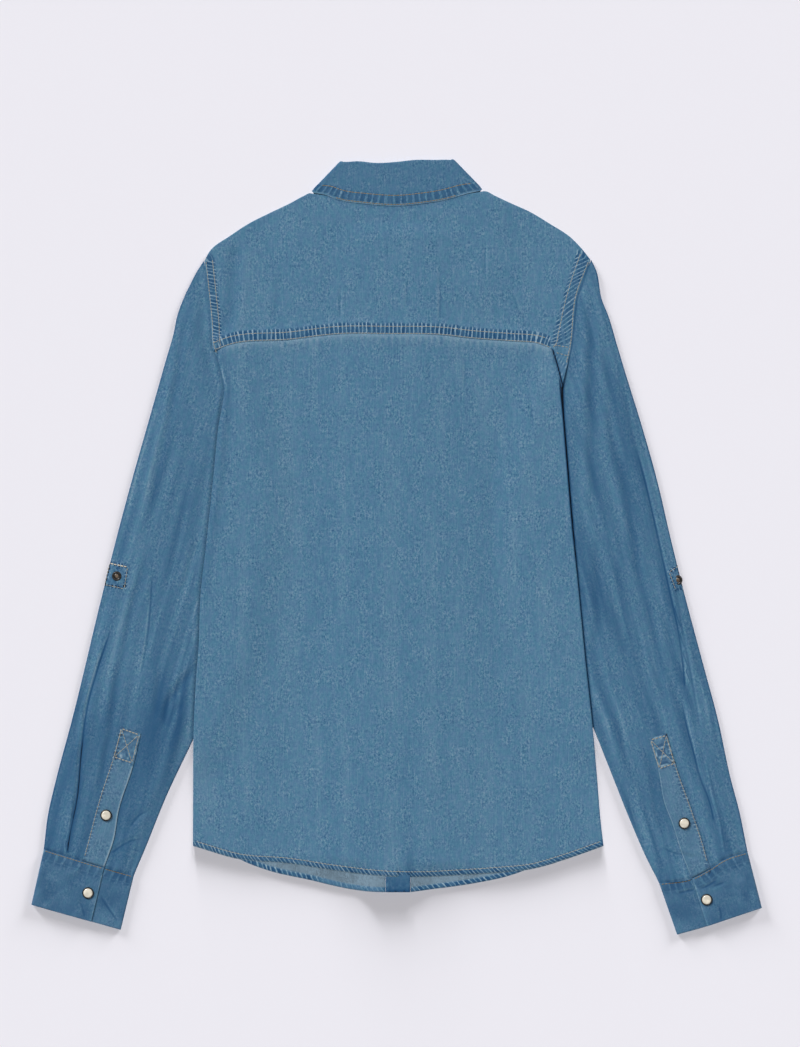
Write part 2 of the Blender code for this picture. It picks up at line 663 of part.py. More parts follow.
def make_collar(denim, shirt):
    leaf, back = BAND / 2, FOLD_HEIGHT + FALL_FOLD_RADIUS
    fall = [[s.x_in, s.y_in, leaf, s.x_out, s.y_out, leaf] for s in FALL_LEFT]
    fall += fold_stations(FALL_FOLD_LEFT, FALL_FOLD_RADIUS, 0, True)
    fall += [[s.x_in, s.y_in, back, s.x_out, s.y_out, back] for s in FALL_BACK]
    fall += fold_stations(FALL_FOLD_RIGHT, FALL_FOLD_RADIUS, 0, False)
    fall += [[s.x_in, s.y_in, leaf, s.x_out, s.y_out, leaf] for s in FALL_RIGHT]
    band_wall("collar_fall", fall, [0, 0.33, 0.67, 1], BAND, denim, shirt)

    def rising(rows):
        half = BAND / 2
        return [[r.x_top, r.y_top, r.z + half, r.x_low, r.y_low, r.z + half] for r in rows]

    stand = rising(STAND_LEFT)
    stand += fold_stations(FALL_FOLD_LEFT, STAND_FOLD_RADIUS, STAND_SHORT, True)
    stand += rising(STAND_BACK)
    stand += fold_stations(FALL_FOLD_RIGHT, STAND_FOLD_RADIUS, STAND_SHORT, False)
    stand += rising(STAND_RIGHT)
    band_wall("collar_stand", stand, [0, 0.5, 1], BAND, denim, shirt)


def make_sleeve(sleeve, denim, shirt):
    """A tube of cloth pressed flat: upper wall, fold, lower wall, fold."""
    fold = EDGE_FOLD / 2
    outer_edge, inner_edge = curve((sleeve.outer, 1)), curve((sleeve.inner, 1))
    armhole, seam = curve((sleeve.armhole, 1)), curve((sleeve.seam, 1))

    turns = [math.pi * step / 4 for step in (1, 2, 3)]
    ring = [(w, 0.0, 1.0) for w in SLEEVE_TOP_COLUMNS]
    ring += [(1.0, math.sin(turn), math.cos(turn)) for turn in turns]
    ring += [(w, 0.0, -1.0) for w in SLEEVE_BOTTOM_COLUMNS]
    ring += [(0.0, math.sin(turn), -math.cos(turn)) for turn in turns]
    ring.append(ring[0])
    ring = np.array(ring)

    def face(depth):
        """A face of the wall, depth inside the outer one."""

        def shape(u, v):
            place, bulge, upward = ring[np.round(u).astype(int)].T
            left, right = outer_edge(v), inner_edge(v)
            width = np.linalg.norm(right - left, axis=1)
            inset = fold + place * (width - 2 * fold)
            inset = inset + np.where(place < 0.5, -1, 1) * bulge * (fold - depth)
            xy = patch(inset / width, v, armhole, seam, outer_edge, inner_edge)
            x, y = xy[:, 0], xy[:, 1]
            z = fold + upward * (fold - depth)
            z = np.where((bulge == 0) & (upward > 0), sleeve_top(sleeve, x, y) - depth, z)
            z = np.where((bulge == 0) & (upward < 0), depth, z)
            return np.column_stack([x, y, z])

        return shape

    columns = np.arange(len(ring), dtype=float)
    columns[-1] = 0
    wall(
        "sleeve_" + sleeve.name, columns, SLEEVE_ROWS, face(0.0), face(CLOTH), denim, shirt, tube=True
    )


def make_sleeve_placket(sleeve, denim, shirt):
    """The strip that finishes the sleeve's opening, laid on the sleeve."""
    ends = [sleeve.strip_left[0], sleeve.strip_right[0]]
    tips = [sleeve.strip_left[-1], sleeve.strip_right[-1]]

    def plan(u, v):
        return patch(
            u, v, curve((ends, 1)), curve((tips, 1)), curve((sleeve.strip_left, 1)), curve((sleeve.strip_right, 1))
        )

    def underside(x, y):
        return sleeve_top(sleeve, x, y) + GAP

    name = "sleeve_placket_" + sleeve.name
    sheet(name, [0, 0.33, 0.67, 1], np.linspace(0, 1, 13), plan, underside, denim, shirt)


def make_cuff(sleeve, denim, shirt):
    """A cuff as an open band: its upper end laps over its under end."""
    seam, hem = curve((sleeve.seam, 1)), curve((sleeve.cuff_hem, 1))
    width = 94.0
    half = BAND / 2
    low, mid, high = half, CUFF_UNDER + half, CUFF_TOP + half
    tip = sleeve.lap - CUFF_LAP_UNDER
    inner_fold, outer_fold = (mid - low) / 2, (high - low) / 2
    path = [(d, mid, 0, 1) for d in np.linspace(tip, width - inner_fold - half, 5)]
    for step in (1, 2, 3):
        turn = math.pi * step / 4
        d = width - inner_fold - half + inner_fold * math.sin(turn)
        path.append((d, low + inner_fold * (1 + math.cos(turn)), math.sin(turn), math.cos(turn)))
    path += [(d, low, 0, -1) for d in np.linspace(width - inner_fold - half, outer_fold + half, 6)]
    for step in (1, 2, 3):
        turn = math.pi * step / 4
        d = outer_fold + half - outer_fold * math.sin(turn)
        path.append((d, low + outer_fold * (1 - math.cos(turn)), -math.sin(turn), -math.cos(turn)))
    path += [(d, high, 0, 1) for d in np.linspace(outer_fold + half, sleeve.lap, 6)]
    path = np.array(path)

    def face(side):
        def shape(u, v):
            d, z, out, up = path[np.round(u).astype(int)].T
            across = (d + side * out * half) / width
            xy = seam(across) * (1 - v[:, None]) + hem(across) * v[:, None]
            return np.column_stack([xy, z + side * up * half])

        return shape

    def clear_of_seam(shape):
        return lambda u, v: shape(u, 0.008 + v * 0.992)

    columns = np.arange(len(path), dtype=float)
    name = "cuff_" + sleeve.name
    return wall(name, columns, CUFF_ROWS, clear_of_seam(face(1)), clear_of_seam(face(-1)), denim, shirt)


def turned(name, profile, place, material, collection, tilt=None):
    """A turned piece: a closed loop of (radius, height) spun round its axis."""
    work = bmesh.new()
    corners = [work.verts.new((radius * MM, 0, height * MM)) for radius, height in profile]
    edges = [work.edges.new(pair) for pair in zip(corners, corners[1:])]
    if profile[0][0] > 0:
        edges.append(work.edges.new((corners[-1], corners[0])))
    bmesh.ops.spin(
        work,
        geom=corners + edges,
        cent=(0, 0, 0),
        axis=(0, 0, 1),
        angle=2 * math.pi,
        steps=SNAP_SIDES,
        use_merge=True,
    )
    bmesh.ops.remove_doubles(work, verts=work.verts[:], dist=1e-6)
    piece = finish(name, work, material, collection)
    piece.matrix_world = Matrix.Translation(Vector(place) * MM) @ (tilt or Matrix())
    return piece


def seat(sleeve, place, radius, above):
    """Height and lean of a disc that clears a sleeve's upper wall by `above` all over."""
    x, y = place
    turns = np.linspace(0, 2 * math.pi, 16, endpoint=False)
    around_x = np.concatenate([[0], radius * np.cos(turns), radius / 2 * np.cos(turns)])
    around_y = np.concatenate([[0], radius * np.sin(turns), radius / 2 * np.sin(turns)])
    tops = sleeve_top(sleeve, x + around_x, y + around_y)
    slope = float((around_x @ tops - around_x.mean() * tops.sum()) / (around_x @ around_x))
    return float((tops - slope * around_x).max()) + above, math.atan(slope)


def rim_profile():
    return [
        (RIM_INNER, 0.0), (RIM_RADIUS - 0.3, 0.0), (RIM_RADIUS, 0.35), (RIM_RADIUS - 0.15, 1.0),
        (RIM_RADIUS - 0.5, RIM_HEIGHT), (RIM_INNER, RIM_HEIGHT - 0.15),
    ]


def dome_profile(radius, height):
    """A low round cap, from the middle of its foot to the middle of its top."""
    arc = [
        (radius * math.cos(turn), 0.45 * height + 0.55 * height * math.sin(turn))
        for turn in (0.0, 0.7)
    ]
    return [(0.0, 0.0), (radius * 0.94, 0.0)] + arc + [(0.0, height)]


def make_snaps(materials, shirt):
    steel, pearl = materials["snap_metal"], materials["snap_pearl"]
    for sleeve in (LEFT, RIGHT):
        on_placket = seat(sleeve, sleeve.placket_snap, RIM_RADIUS, GAP + CLOTH + GAP)[0]
        on_cuff = CUFF_TOP + BAND + GAP
        for site, place, base in (
            ("placket", sleeve.placket_snap, on_placket),
            ("cuff", sleeve.cuff_snap, on_cuff),
        ):
            label = f"snap_{site}_{sleeve.name}"
            turned(label + "_rim", rim_profile(), (*place, base), steel, shirt)
            turned(label + "_pearl", dome_profile(PEARL_RADIUS, PEARL_HEIGHT), (*place, base), pearl, shirt)
        under, lean = seat(sleeve, sleeve.tab_snap, TAB_RADIUS, GAP)
        tilt = Matrix.Rotation(-lean, 4, "Y")
        profile = dome_profile(TAB_RADIUS, TAB_HEIGHT)
        turned("tab_snap_" + sleeve.name, profile, (*sleeve.tab_snap, under), steel, shirt, tilt)
    for number in range(FRONT_SNAPS):
        y = FRONT_SNAP_TOP_Y - number * FRONT_SNAP_STEP
        profile = dome_profile(CAP_RADIUS, CAP_HEIGHT)[::-1]
        facing_down = [(radius, CAP_HEIGHT - height) for radius, height in profile]
        turned(f"front_snap_{number + 1}", facing_down, (0, y, 0), pearl, shirt)
    low_cap = [(radius, LEAF_LIFT - GAP - height * 0.8) for radius, height in profile]
    turned("stand_snap", low_cap, (0, STAND_SNAP_Y, 0), pearl, shirt)


def make_materials():
    """One plain finish for each kind of material, as linear colour, roughness and metal."""
    looks = {
        "denim": ((0.091, 0.195, 0.305), 0.9, 0.0),
        "snap_metal": ((0.045, 0.042, 0.04), 0.35, 1.0),
        "snap_pearl": ((0.75, 0.71, 0.62), 0.3, 0.0),
    }
    made = {}
    for name, (colour, roughness, metallic) in looks.items():
        material = bpy.data.materials.new(name)
        material.use_nodes = True
        shader = material.node_tree.nodes["Principled BSDF"]
        shader.inputs["Base Color"].default_value = (*colour, 1)
        shader.inputs["Roughness"].default_value = roughness
        shader.inputs["Metallic"].default_value = metallic
        made[name] = material
    return made


def main():
    for old in list(bpy.data.objects):
        bpy.data.objects.remove(old, do_unlink=True)
    shirt = bpy.data.collections.new("denim_shirt")
    bpy.context.scene.collection.children.link(shirt)
    materials = make_materials()
    denim = materials["denim"]
    make_fronts(denim, shirt)
    make_bands(denim, shirt)
    make_back(denim, shirt)
    make_yoke(denim, shirt)
    make_collar(denim, shirt)
    for sleeve in (LEFT, RIGHT):
        make_sleeve(sleeve, denim, shirt)
        make_sleeve_placket(sleeve, denim, shirt)
        make_cuff(sleeve, denim, shirt)
    make_snaps(materials, shirt)


main()
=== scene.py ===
"""The looks of a denim shirt that lies face down: cloth, seams, stitches, snaps and studio.

Each cloth piece is a thin shell on its solid's form, with its own creases and puckered seams. The
tables are in millimetres: x runs to the right as seen from above, y towards the collar, z up.
"""

import json
import math
from collections import namedtuple
from functools import partial

import bmesh
import bpy
import numpy as np
from bpy.props import FloatProperty, FloatVectorProperty, PointerProperty
from mathutils import Matrix, Vector

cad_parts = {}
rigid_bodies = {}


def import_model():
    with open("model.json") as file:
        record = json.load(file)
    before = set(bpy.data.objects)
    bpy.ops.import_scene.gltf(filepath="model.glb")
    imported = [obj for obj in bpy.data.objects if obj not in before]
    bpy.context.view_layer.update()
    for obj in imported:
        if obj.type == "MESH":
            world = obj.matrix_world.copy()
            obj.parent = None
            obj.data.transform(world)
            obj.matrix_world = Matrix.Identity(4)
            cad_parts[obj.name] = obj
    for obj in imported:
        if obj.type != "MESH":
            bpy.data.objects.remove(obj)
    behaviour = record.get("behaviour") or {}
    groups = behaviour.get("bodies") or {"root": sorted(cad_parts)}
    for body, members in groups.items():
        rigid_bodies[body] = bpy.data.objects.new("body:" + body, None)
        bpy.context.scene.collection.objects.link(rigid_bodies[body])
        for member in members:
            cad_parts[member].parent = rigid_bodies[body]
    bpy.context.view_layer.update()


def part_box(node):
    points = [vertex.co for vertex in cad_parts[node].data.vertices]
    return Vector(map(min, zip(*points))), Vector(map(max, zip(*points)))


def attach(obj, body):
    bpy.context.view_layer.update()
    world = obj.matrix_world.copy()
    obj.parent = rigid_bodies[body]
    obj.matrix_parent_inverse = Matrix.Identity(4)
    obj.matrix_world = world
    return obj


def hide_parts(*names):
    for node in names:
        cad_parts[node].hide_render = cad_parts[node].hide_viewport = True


bl_info = {
    "name": "Denim shirt laid flat",
    "version": (1, 0, 0),
    "blender": (4, 5, 0),
    "location": "View3D > Sidebar > Shirt",
    "description": "Sews a long-sleeved denim shirt with pearl snaps, lying face down",
    "category": "Object",
}

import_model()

MM = 0.001

# Walls and the air between them
CLOTH = 1.0
BAND = 1.2
GAP = 0.3

# Heights above the surface of the undersides of what lies in layers
EDGE_FOLD = 2.4  # a sleeve pressed flat at its edge: two layers and the air between
SLEEVE_FULL = 4.4  # a sleeve where it stands fullest
SIDE_LIFT = EDGE_FOLD + GAP  # the fronts over a sleeve tucked under the body
LEAF_LIFT = BAND + GAP  # the fronts over the collar leaves
TOP_BAND_LIFT = 1.8  # the front band that fastens on top, over the snap caps
UNDER_BAND_LIFT = TOP_BAND_LIFT + CLOTH + GAP
BACK_OVER_FRONT = 0.4
CENTRE_RISE = 3.3  # the back above its own level at the sides, over the two front bands
NECK_RISE = 1.7
LAP_RISE = CLOTH + GAP
LAP_WIDTH = 9.0
SOFT_MAX = 8  # the power that blends two rises into one

# Front bands
BAND_HALF = 12.3
PANEL_EDGE = BAND_HALF + GAP
HEM_Y = -345.0
NECK_Y = 278.0
TOP_BAND_RAMP = 27.0
UNDER_BAND_RAMP = 32.0

# How far a layer takes to come down from what lies under it
COVER_MARGIN = 4.0
FRONT_RAMP = 30.0
BACK_RAMP = 42.0
EDGE_RAMP = 18.0
BODY_RAMP = 22.0
SLEEVE_LEAN = 0.966  # cosine of a sleeve's slant, from a level distance to a square one

# Edges of the body: x, y from the hem up
SIDE_LEFT = [
    (-205, -299), (-204.8, -240), (-204.5, -193), (-202, -136), (-199, -95), (-197.5, -50),
    (-191, 9), (-184.3, 73), (-179.5, 120), (-174, 158), (-181, 189),
]
ARMHOLE_LEFT = [(-181, 189), (-185.5, 202), (-187, 224), (-190, 254), (-193.5, 286)]
SIDE_RIGHT = [
    (205.5, -299), (203, -278), (198, -218), (194.3, -178), (187.3, -114), (179.3, -32),
    (174.3, 17), (169, 80), (164.8, 131), (162, 159),
]
BACK_TOP_RIGHT = [(162, 159), (160.9, 180), (156, 194), (151, 206)]
ARMHOLE_RIGHT = [(164, 158), (170.5, 187), (173.5, 201), (179, 250), (192.5, 287)]

# Hems: x, y from left to right
BACK_HEM = [
    (-205, -299), (-157, -312.6), (-111, -316.4), (-65, -323.3), (-19, -328.7), (22, -330),
    (58, -328.4), (100, -325.6), (132, -322.5), (172, -311), (192, -304), (205.5, -299),
]
FRONT_HEM_LEFT = [
    (-204.3, -298), (-186, -303), (-168, -308), (-148, -317), (-128, -324), (-88, -333),
    (-48, -342), (-28, -344.5), (-PANEL_EDGE, HEM_Y),
]
FRONT_HEM_RIGHT = [
    (PANEL_EDGE, HEM_Y), (32, -342.5), (72, -337), (112, -328.5), (132, -321.5), (172, -310),
    (192, -303), (204.8, -298),
]

# Yoke, shoulders and neck: x, y from left to right
YOKE_EDGE = [
    (-184.5, 194), (-169, 200), (-108, 205.5), (-59, 211), (-10, 211), (46, 210), (72, 207),
    (112, 204), (142, 201), (153.5, 196.5),
]
YOKE_TAIL = [(153.5, 196.5), (158.5, 180), (163.6, 159.5)]
BACK_TOP = [
    (-185.4, 203), (-169, 209), (-108, 214.5), (-59, 220), (-10, 220), (46, 219), (72, 216),
    (112, 213), (142, 210), (151, 206),
]
SHOULDER_LEFT = [
    (-193.5, 286), (-188, 296), (-168, 311), (-148, 324), (-128, 334), (-108, 343.5),
    (-94, 351), (-88, 353.6), (-84.5, 353),
]
NECK_BACK = [(-84.5, 353), (-60, 350), (-30, 349.3), (0, 349.5), (40, 350.5), (65, 352.5), (82, 355)]
SHOULDER_RIGHT = [
    (82, 355), (87, 355.6), (97, 351), (112, 344), (132, 335), (152, 323), (172, 310), (183, 299),
    (192.5, 287),
]
NECK_FRONT_LEFT = [(-84, 352), (-79, 328), (-68, 307), (-50, 291), (-30, 281.5), (-PANEL_EDGE, NECK_Y)]
NECK_FRONT_RIGHT = [(PANEL_EDGE, NECK_Y), (30, 282), (50, 292), (67, 308), (77, 330), (81.5, 354)]

# Collar: the line of its fall along the neck and of its free edge, from one front end to the other.
# Between the back and the front rows it turns over the slanted fold at the side.
Station = namedtuple("Station", "x_in y_in x_out y_out")
FALL_LEFT = [
    Station(-7, 305, -64, 262),
    Station(-18, 308.5, -70, 276),
    Station(-30, 318.5, -76, 291),
    Station(-41, 331, -81, 306),
    Station(-49.5, 347, -84, 323),
    Station(-54.5, 365, -86, 340),
]
FALL_BACK = [
    Station(-50, 384.9, -74, 352.2),
    Station(-41, 385.5, -60, 347.2),
    Station(-22, 383.8, -34, 343.2),
    Station(0, 385, 0, 341),
    Station(17, 386.8, 22, 343),
    Station(36, 386.8, 48, 347.2),
    Station(48, 387, 70, 353.4),
]
FALL_RIGHT = [
    Station(54, 367, 84.5, 342),
    Station(49, 349, 82.5, 325),
    Station(40, 333, 78.5, 308),
    Station(30, 320, 74, 293),
    Station(18, 309.5, 69, 278),
    Station(7, 305, 63, 263),
]
FALL_FOLD_LEFT = ((-58.5, 385), (-86.5, 356))
FALL_FOLD_RIGHT = ((56.4, 387), (84.5, 358))

# Collar stand: its edge on the neckline and its top edge, and its height over the surface
Rise = namedtuple("Rise", "x_low y_low x_top y_top z")
STAND_LEFT = [
    Rise(12, 278.5, 12, 303, UNDER_BAND_LIFT),
    Rise(-4, 278.5, -4, 303.2, UNDER_BAND_LIFT),
    Rise(-13, 278.6, -12.2, 304.2, UNDER_BAND_LIFT),
    Rise(-20, 279.8, -16.5, 306.5, 2.7),
    Rise(-30, 282.2, -23, 311.5, 1.7),
    Rise(-42, 287.2, -31, 319, LEAF_LIFT),
    Rise(-56, 296, -40, 329, LEAF_LIFT),
    Rise(-67.4, 308, -48, 342, LEAF_LIFT),
    Rise(-76.5, 324, -54, 357, LEAF_LIFT),
    Rise(-81.5, 340, -57, 371, LEAF_LIFT),
]
STAND_BACK_Z = 3.1
STAND_BACK = [
    Rise(-74, 352.2, -52, 383.4, STAND_BACK_Z),
    Rise(-58, 350.4, -41, 384, STAND_BACK_Z),
    Rise(-30, 349.8, -22, 382.4, STAND_BACK_Z),
    Rise(0, 350, 0, 383.6, STAND_BACK_Z),
    Rise(30, 350.8, 20, 385.4, STAND_BACK_Z),
    Rise(56, 352.4, 40, 385.4, STAND_BACK_Z),
    Rise(72, 354.2, 50, 385.4, STAND_BACK_Z),
]
STAND_RIGHT = [
    Rise(79, 341, 56, 372, LEAF_LIFT),
    Rise(74.5, 325.6, 53, 358, LEAF_LIFT),
    Rise(66.2, 309, 47, 343, LEAF_LIFT),
    Rise(56, 297.5, 40, 331, LEAF_LIFT),
    Rise(42, 288, 31, 320, LEAF_LIFT),
    Rise(30, 282.8, 23, 312, LEAF_LIFT),
    Rise(20, 280.3, 17, 307, LEAF_LIFT),
    Rise(12.6, 278.7, 12.2, 304, LEAF_LIFT),
    Rise(0, 278.5, 0, 303.4, LEAF_LIFT),
    Rise(-12, 278.5, -12, 303.4, LEAF_LIFT),
]
FOLD_HEIGHT = 2.9  # middle of the slanted fold at the side of the neck
FALL_FOLD_RADIUS = 2.3
STAND_FOLD_RADIUS = 0.8
STAND_SHORT = 1.4  # the stand's fold ends this much inside the fall's
FOLD_STEPS = 4

# Where the collar leaves and the neck hold the layers above them apart
LEAF_LEFT = [(-92, 355), (-92, 322), (-84, 286), (-67, 252), (0, 302), (-42, 335), (-60, 385)]
LEAF_RIGHT = [(90, 357), (90, 323), (82, 287), (66, 253), (0, 302), (40, 335), (58, 387)]
NECK_PLATE = [(-90, 338), (88, 340), (90, 362), (-90, 360)]
DOME_HALF = 16.0
DOME_REACH = 94.0
DOME_END = 308.0
DOME_FADE = 34.0

# Sleeves: outer and inner edge from armhole to cuff, the seam and the hem of the cuff from the
# outer side to the inner, the part hidden under the body, the two edges of the placket strip,
# and how far up the sleeve the tab's snap sits
Sleeve = namedtuple(
    "Sleeve",
    "name sign outer inner armhole body seam cuff_hem lap hidden strip_left strip_right tab_y",
)
LEFT = Sleeve(
    name="left",
    sign=-1,
    outer=[
        (-194.1, 286), (-200, 277), (-208, 262), (-215, 247), (-221, 230), (-224, 215), (-232, 187),
        (-249, 127), (-266, 67), (-282, 7), (-297, -53), (-326, -173), (-342, -233), (-350, -268),
        (-354, -301.5),
    ],
    inner=[
        (-182, 188.4), (-170, 172), (-157, 127), (-146, 60), (-149, 0), (-158, -53), (-173, -113),
        (-190, -160), (-205, -193), (-231, -248), (-255, -307), (-264, -328),
    ],
    armhole=[(-194.1, 286), (-190.9, 254), (-188, 224), (-186.4, 203), (-182, 188.4)],
    body=SIDE_LEFT + ARMHOLE_LEFT[1:],
    seam=[(-354.1, -302), (-324, -311.3), (-293, -320.5), (-264.1, -328.6)],
    cuff_hem=[(-366.5, -357.6), (-337, -366), (-306.5, -374.5), (-277.2, -382.7)],
    lap=63.0,
    hidden=[
        (-181, 189), (-168, 175), (-155, 127), (-144, 60), (-147, 0), (-156, -53), (-171, -113),
        (-188, -160), (-203, -194), (-216, -193), (-210, -60), (-198, 73), (-190, 150),
    ],
    strip_left=[(-277, -179), (-285.5, -211), (-298, -249), (-314, -308), (-315.2, -312.2)],
    strip_right=[(-257, -186), (-264.5, -218), (-279, -263), (-284, -292), (-293.2, -318.6)],
    tab_y=-29,
)
RIGHT = Sleeve(
    name="right",
    sign=1,
    outer=[
        (193.2, 287), (198, 277), (204, 247), (210, 232), (219, 202), (228, 172), (242, 127), (259, 67),
        (273, 7), (288, -53), (304, -113), (320, -173), (333, -233), (341, -263), (349.3, -304),
    ],
    inner=[
        (164.8, 157.4), (150, 117), (135, 60), (137, 0), (148, -53), (163, -103), (182, -152),
        (196, -183), (210, -218), (234, -278), (247, -308), (261, -335.6),
    ],
    armhole=[(193.2, 287), (180, 250), (174.6, 201), (171.6, 187), (164.8, 157.4)],
    body=SIDE_RIGHT[:-1] + ARMHOLE_RIGHT,
    seam=[(349.4, -304.5), (325, -313), (312, -321.5), (294, -331), (261.1, -336.2)],
    cuff_hem=[(363.8, -360.8), (336, -370), (306, -380), (279, -387.5)],
    lap=61.0,
    hidden=[
        (164, 158), (147, 117), (132, 60), (134, 0), (145, -53), (160, -103), (179, -152),
        (193, -185), (207, -183), (195, -60), (187, 60), (177, 130),
    ],
    strip_left=[(250.5, -191), (260.6, -225), (266, -255), (274, -276), (283, -304.5), (292, -327)],
    strip_right=[(268.5, -186), (278, -218), (294, -263), (304, -293), (310.6, -317)],
    tab_y=-33,
)
TAB_RAMP = 10.0  # the sleeve rises sooner from its edge over the strap of the roll-up tab
TAB_REACH = 26.0

# Cuff heights: the lower layer lies on the surface
CUFF_UNDER = BAND + 0.4
CUFF_TOP = CUFF_UNDER + BAND + GAP
CUFF_LAP_UNDER = 20.0
CUFF_WIDTH = 94.0
CUFF_DEPTH = 58.0
CUFF_SHADE = 0.61  # how much darker the cuffs are coloured than the body
CUFF_GREY = 0.06  # and how much greyer they are

# Snaps
RIM_RADIUS = 5.8
RIM_INNER = 4.8
RIM_HEIGHT = 1.3
PEARL_RADIUS = 4.6
PEARL_HEIGHT = 1.9
TAB_RADIUS = 4.8
CAP_RADIUS = 5.6
CAP_HEIGHT = 1.5
FRONT_SNAPS = 7


def smooth(t):
    """A soft step from 0 to 1."""
    t = np.clip(t, 0, 1)
    return t * t * (3 - 2 * t)


def peak(distance, width):
    """A soft peak: 1 at no distance, down to 0 within a few widths."""
    return np.exp(-((distance / width) ** 2))


def spline(points, t):
    """Places at t, from 0 to 1 by length, on a smooth curve through the points."""
    points = np.asarray(points, float)
    t = np.clip(np.asarray(t, float), 0, 1)
    knots = np.concatenate([[0], np.cumsum(np.linalg.norm(np.diff(points, axis=0), axis=1))])
    knots /= knots[-1]
    slopes = np.gradient(points, knots, axis=0)
    i = np.clip(np.searchsorted(knots, t, side="right") - 1, 0, len(knots) - 2)
    span = knots[i + 1] - knots[i]
    s = ((t - knots[i]) / span)[:, None]
    span = span[:, None]
    return (
        points[i] * (1 + 2 * s) * (1 - s) ** 2
        + points[i + 1] * (3 - 2 * s) * s**2
        + slopes[i] * span * s * (1 - s) ** 2
        - slopes[i + 1] * span * (1 - s) * s**2
    )


def curve(*pieces):
    """A curve of one or more splines, each given as (points, t where it ends)."""

    def at(t):
        t = np.asarray(t, float)
        places = np.zeros((len(t), 2))
        start = 0.0
        for points, end in pieces:
            inside = (t >= start - 1e-9) & (t <= end + 1e-9)
            places[inside] = spline(points, (t[inside] - start) / (end - start))
            start = end
        return places

    return at


def patch(u, v, bottom, top, left, right):
    """Places inside four edge curves that meet at their corners (a Coons patch)."""
    ends = np.array([0.0, 1.0])
    low, high = bottom(ends), top(ends)
    u = np.asarray(u, float)
    v = np.asarray(v, float)
    across, up = u[:, None], v[:, None]
    ruled = (1 - up) * bottom(u) + up * top(u) + (1 - across) * left(v) + across * right(v)
    corners = (1 - up) * ((1 - across) * low[0] + across * low[1])
    corners += up * ((1 - across) * high[0] + across * high[1])
    return ruled - corners


def within(bottom, top, left, right):
    """The plan of a piece inside four edges, each a list of (points, t where it ends)."""

    def plan(u, v):
        return patch(u, v, curve(*bottom), curve(*top), curve(*left), curve(*right))

    return plan


def reach_from(x, y, outline):
    """How far places lie from a closed outline: zero inside it."""
    nearest = np.full(x.shape, np.inf)
    inside = np.zeros(x.shape, bool)
    corners = np.asarray(outline, float)
    for (ax, ay), (bx, by) in zip(corners, np.roll(corners, -1, axis=0)):
        nearest = np.minimum(nearest, to_segment(x, y, ax, ay, bx, by)[0])
        crosses = (ay > y) != (by > y)
        inside ^= crosses & (x < ax + (y - ay) * (bx - ax) / (by - ay if by != ay else 1))
    return np.where(inside, 0, nearest)


def to_segment(x, y, ax, ay, bx, by):
    """Distance to a segment, and how far along it the nearest point lies, from 0 to 1."""
    along = ((x - ax) * (bx - ax) + (y - ay) * (by - ay)) / ((bx - ax) ** 2 + (by - ay) ** 2)
    along = np.clip(along, 0, 1)
    return np.hypot(x - ax - along * (bx - ax), y - ay - along * (by - ay)), along


def cover(x, y, outline, height, ramp):
    """The rise of a layer that lies over an outline and comes down around it."""
    return height * (1 - smooth((reach_from(x, y, outline) - COVER_MARGIN) / ramp))


def blend(*rises):
    """The largest of several rises, with soft joins."""
    return sum(np.maximum(rise, 0) ** SOFT_MAX for rise in rises) ** (1 / SOFT_MAX)


def layers_below(x, y, ramp):
    """The rises over the parts of the sleeves and the collar that lie under the body."""
    below = (
        (LEFT.hidden, SIDE_LIFT), (RIGHT.hidden, SIDE_LIFT), (LEAF_LEFT, LEAF_LIFT), (LEAF_RIGHT, LEAF_LIFT),
    )
    return [cover(x, y, outline, lift, ramp) for outline, lift in below]


def front_lift(x, y):
    """Underside of the fronts: on the surface, over the leaves, sleeves and band."""
    left_band = UNDER_BAND_LIFT * smooth((UNDER_BAND_RAMP + PANEL_EDGE + x) / UNDER_BAND_RAMP)
    right_band = TOP_BAND_LIFT * smooth((TOP_BAND_RAMP + PANEL_EDGE - x) / TOP_BAND_RAMP)
    return blend(*layers_below(x, y, FRONT_RAMP), np.where(x < 0, left_band, right_band))


def back_lift(x, y):
    """Underside of the back and the yoke above what they lie on."""
    dome = 1 - smooth((np.abs(x) - DOME_HALF) / DOME_REACH)
    dome = dome * (1 - smooth((y - DOME_END) / DOME_FADE))
    neck = cover(x, y, NECK_PLATE, NECK_RISE, BACK_RAMP)
    return CLOTH + BACK_OVER_FRONT + blend(*layers_below(x, y, BACK_RAMP), neck, CENTRE_RISE * dome)


def yoke_lift(x, y):
    """Underside of the yoke, which laps over the top of the back."""
    edge = np.asarray(YOKE_EDGE, float)
    above = y - np.interp(x, edge[:, 0], edge[:, 1])
    lapped = 1 - smooth((above - LAP_WIDTH - 1) / LAP_WIDTH)
    lapped = lapped * (1 - smooth((x - edge[-1, 0]) / (YOKE_TAIL[-1][0] - edge[-1, 0])))
    return back_lift(x, y) + LAP_RISE * lapped


def edge_x(points, y):
    """x of an edge at a given y, for an edge that runs steadily up or down."""
    points = np.asarray(sorted(points, key=lambda point: point[1]), float)
    return np.interp(y, points[:, 1], points[:, 0])


def fold_stations(fold, radius, short, to_back):
    """Middle-of-cloth lines of a band as it turns over a slanted fold at the side of the neck."""
    top, low = (np.array(end, float) for end in fold)
    along = (low - top) / np.linalg.norm(low - top)
    outward = np.array([-along[1], along[0]])
    outward = outward * np.sign(outward[0] * low[0])
    top = top - outward * FOLD_HEIGHT + along * short
    low = low - outward * FOLD_HEIGHT - along * short
    lines = []
    for step in range(FOLD_STEPS + 1):
        turn = math.pi * step / FOLD_STEPS
        out = outward * radius * math.sin(turn)
        z = FOLD_HEIGHT - radius * math.cos(turn)
        lines.append([*(top + out), z, *(low + out), z])
    return lines if to_back else lines[::-1]


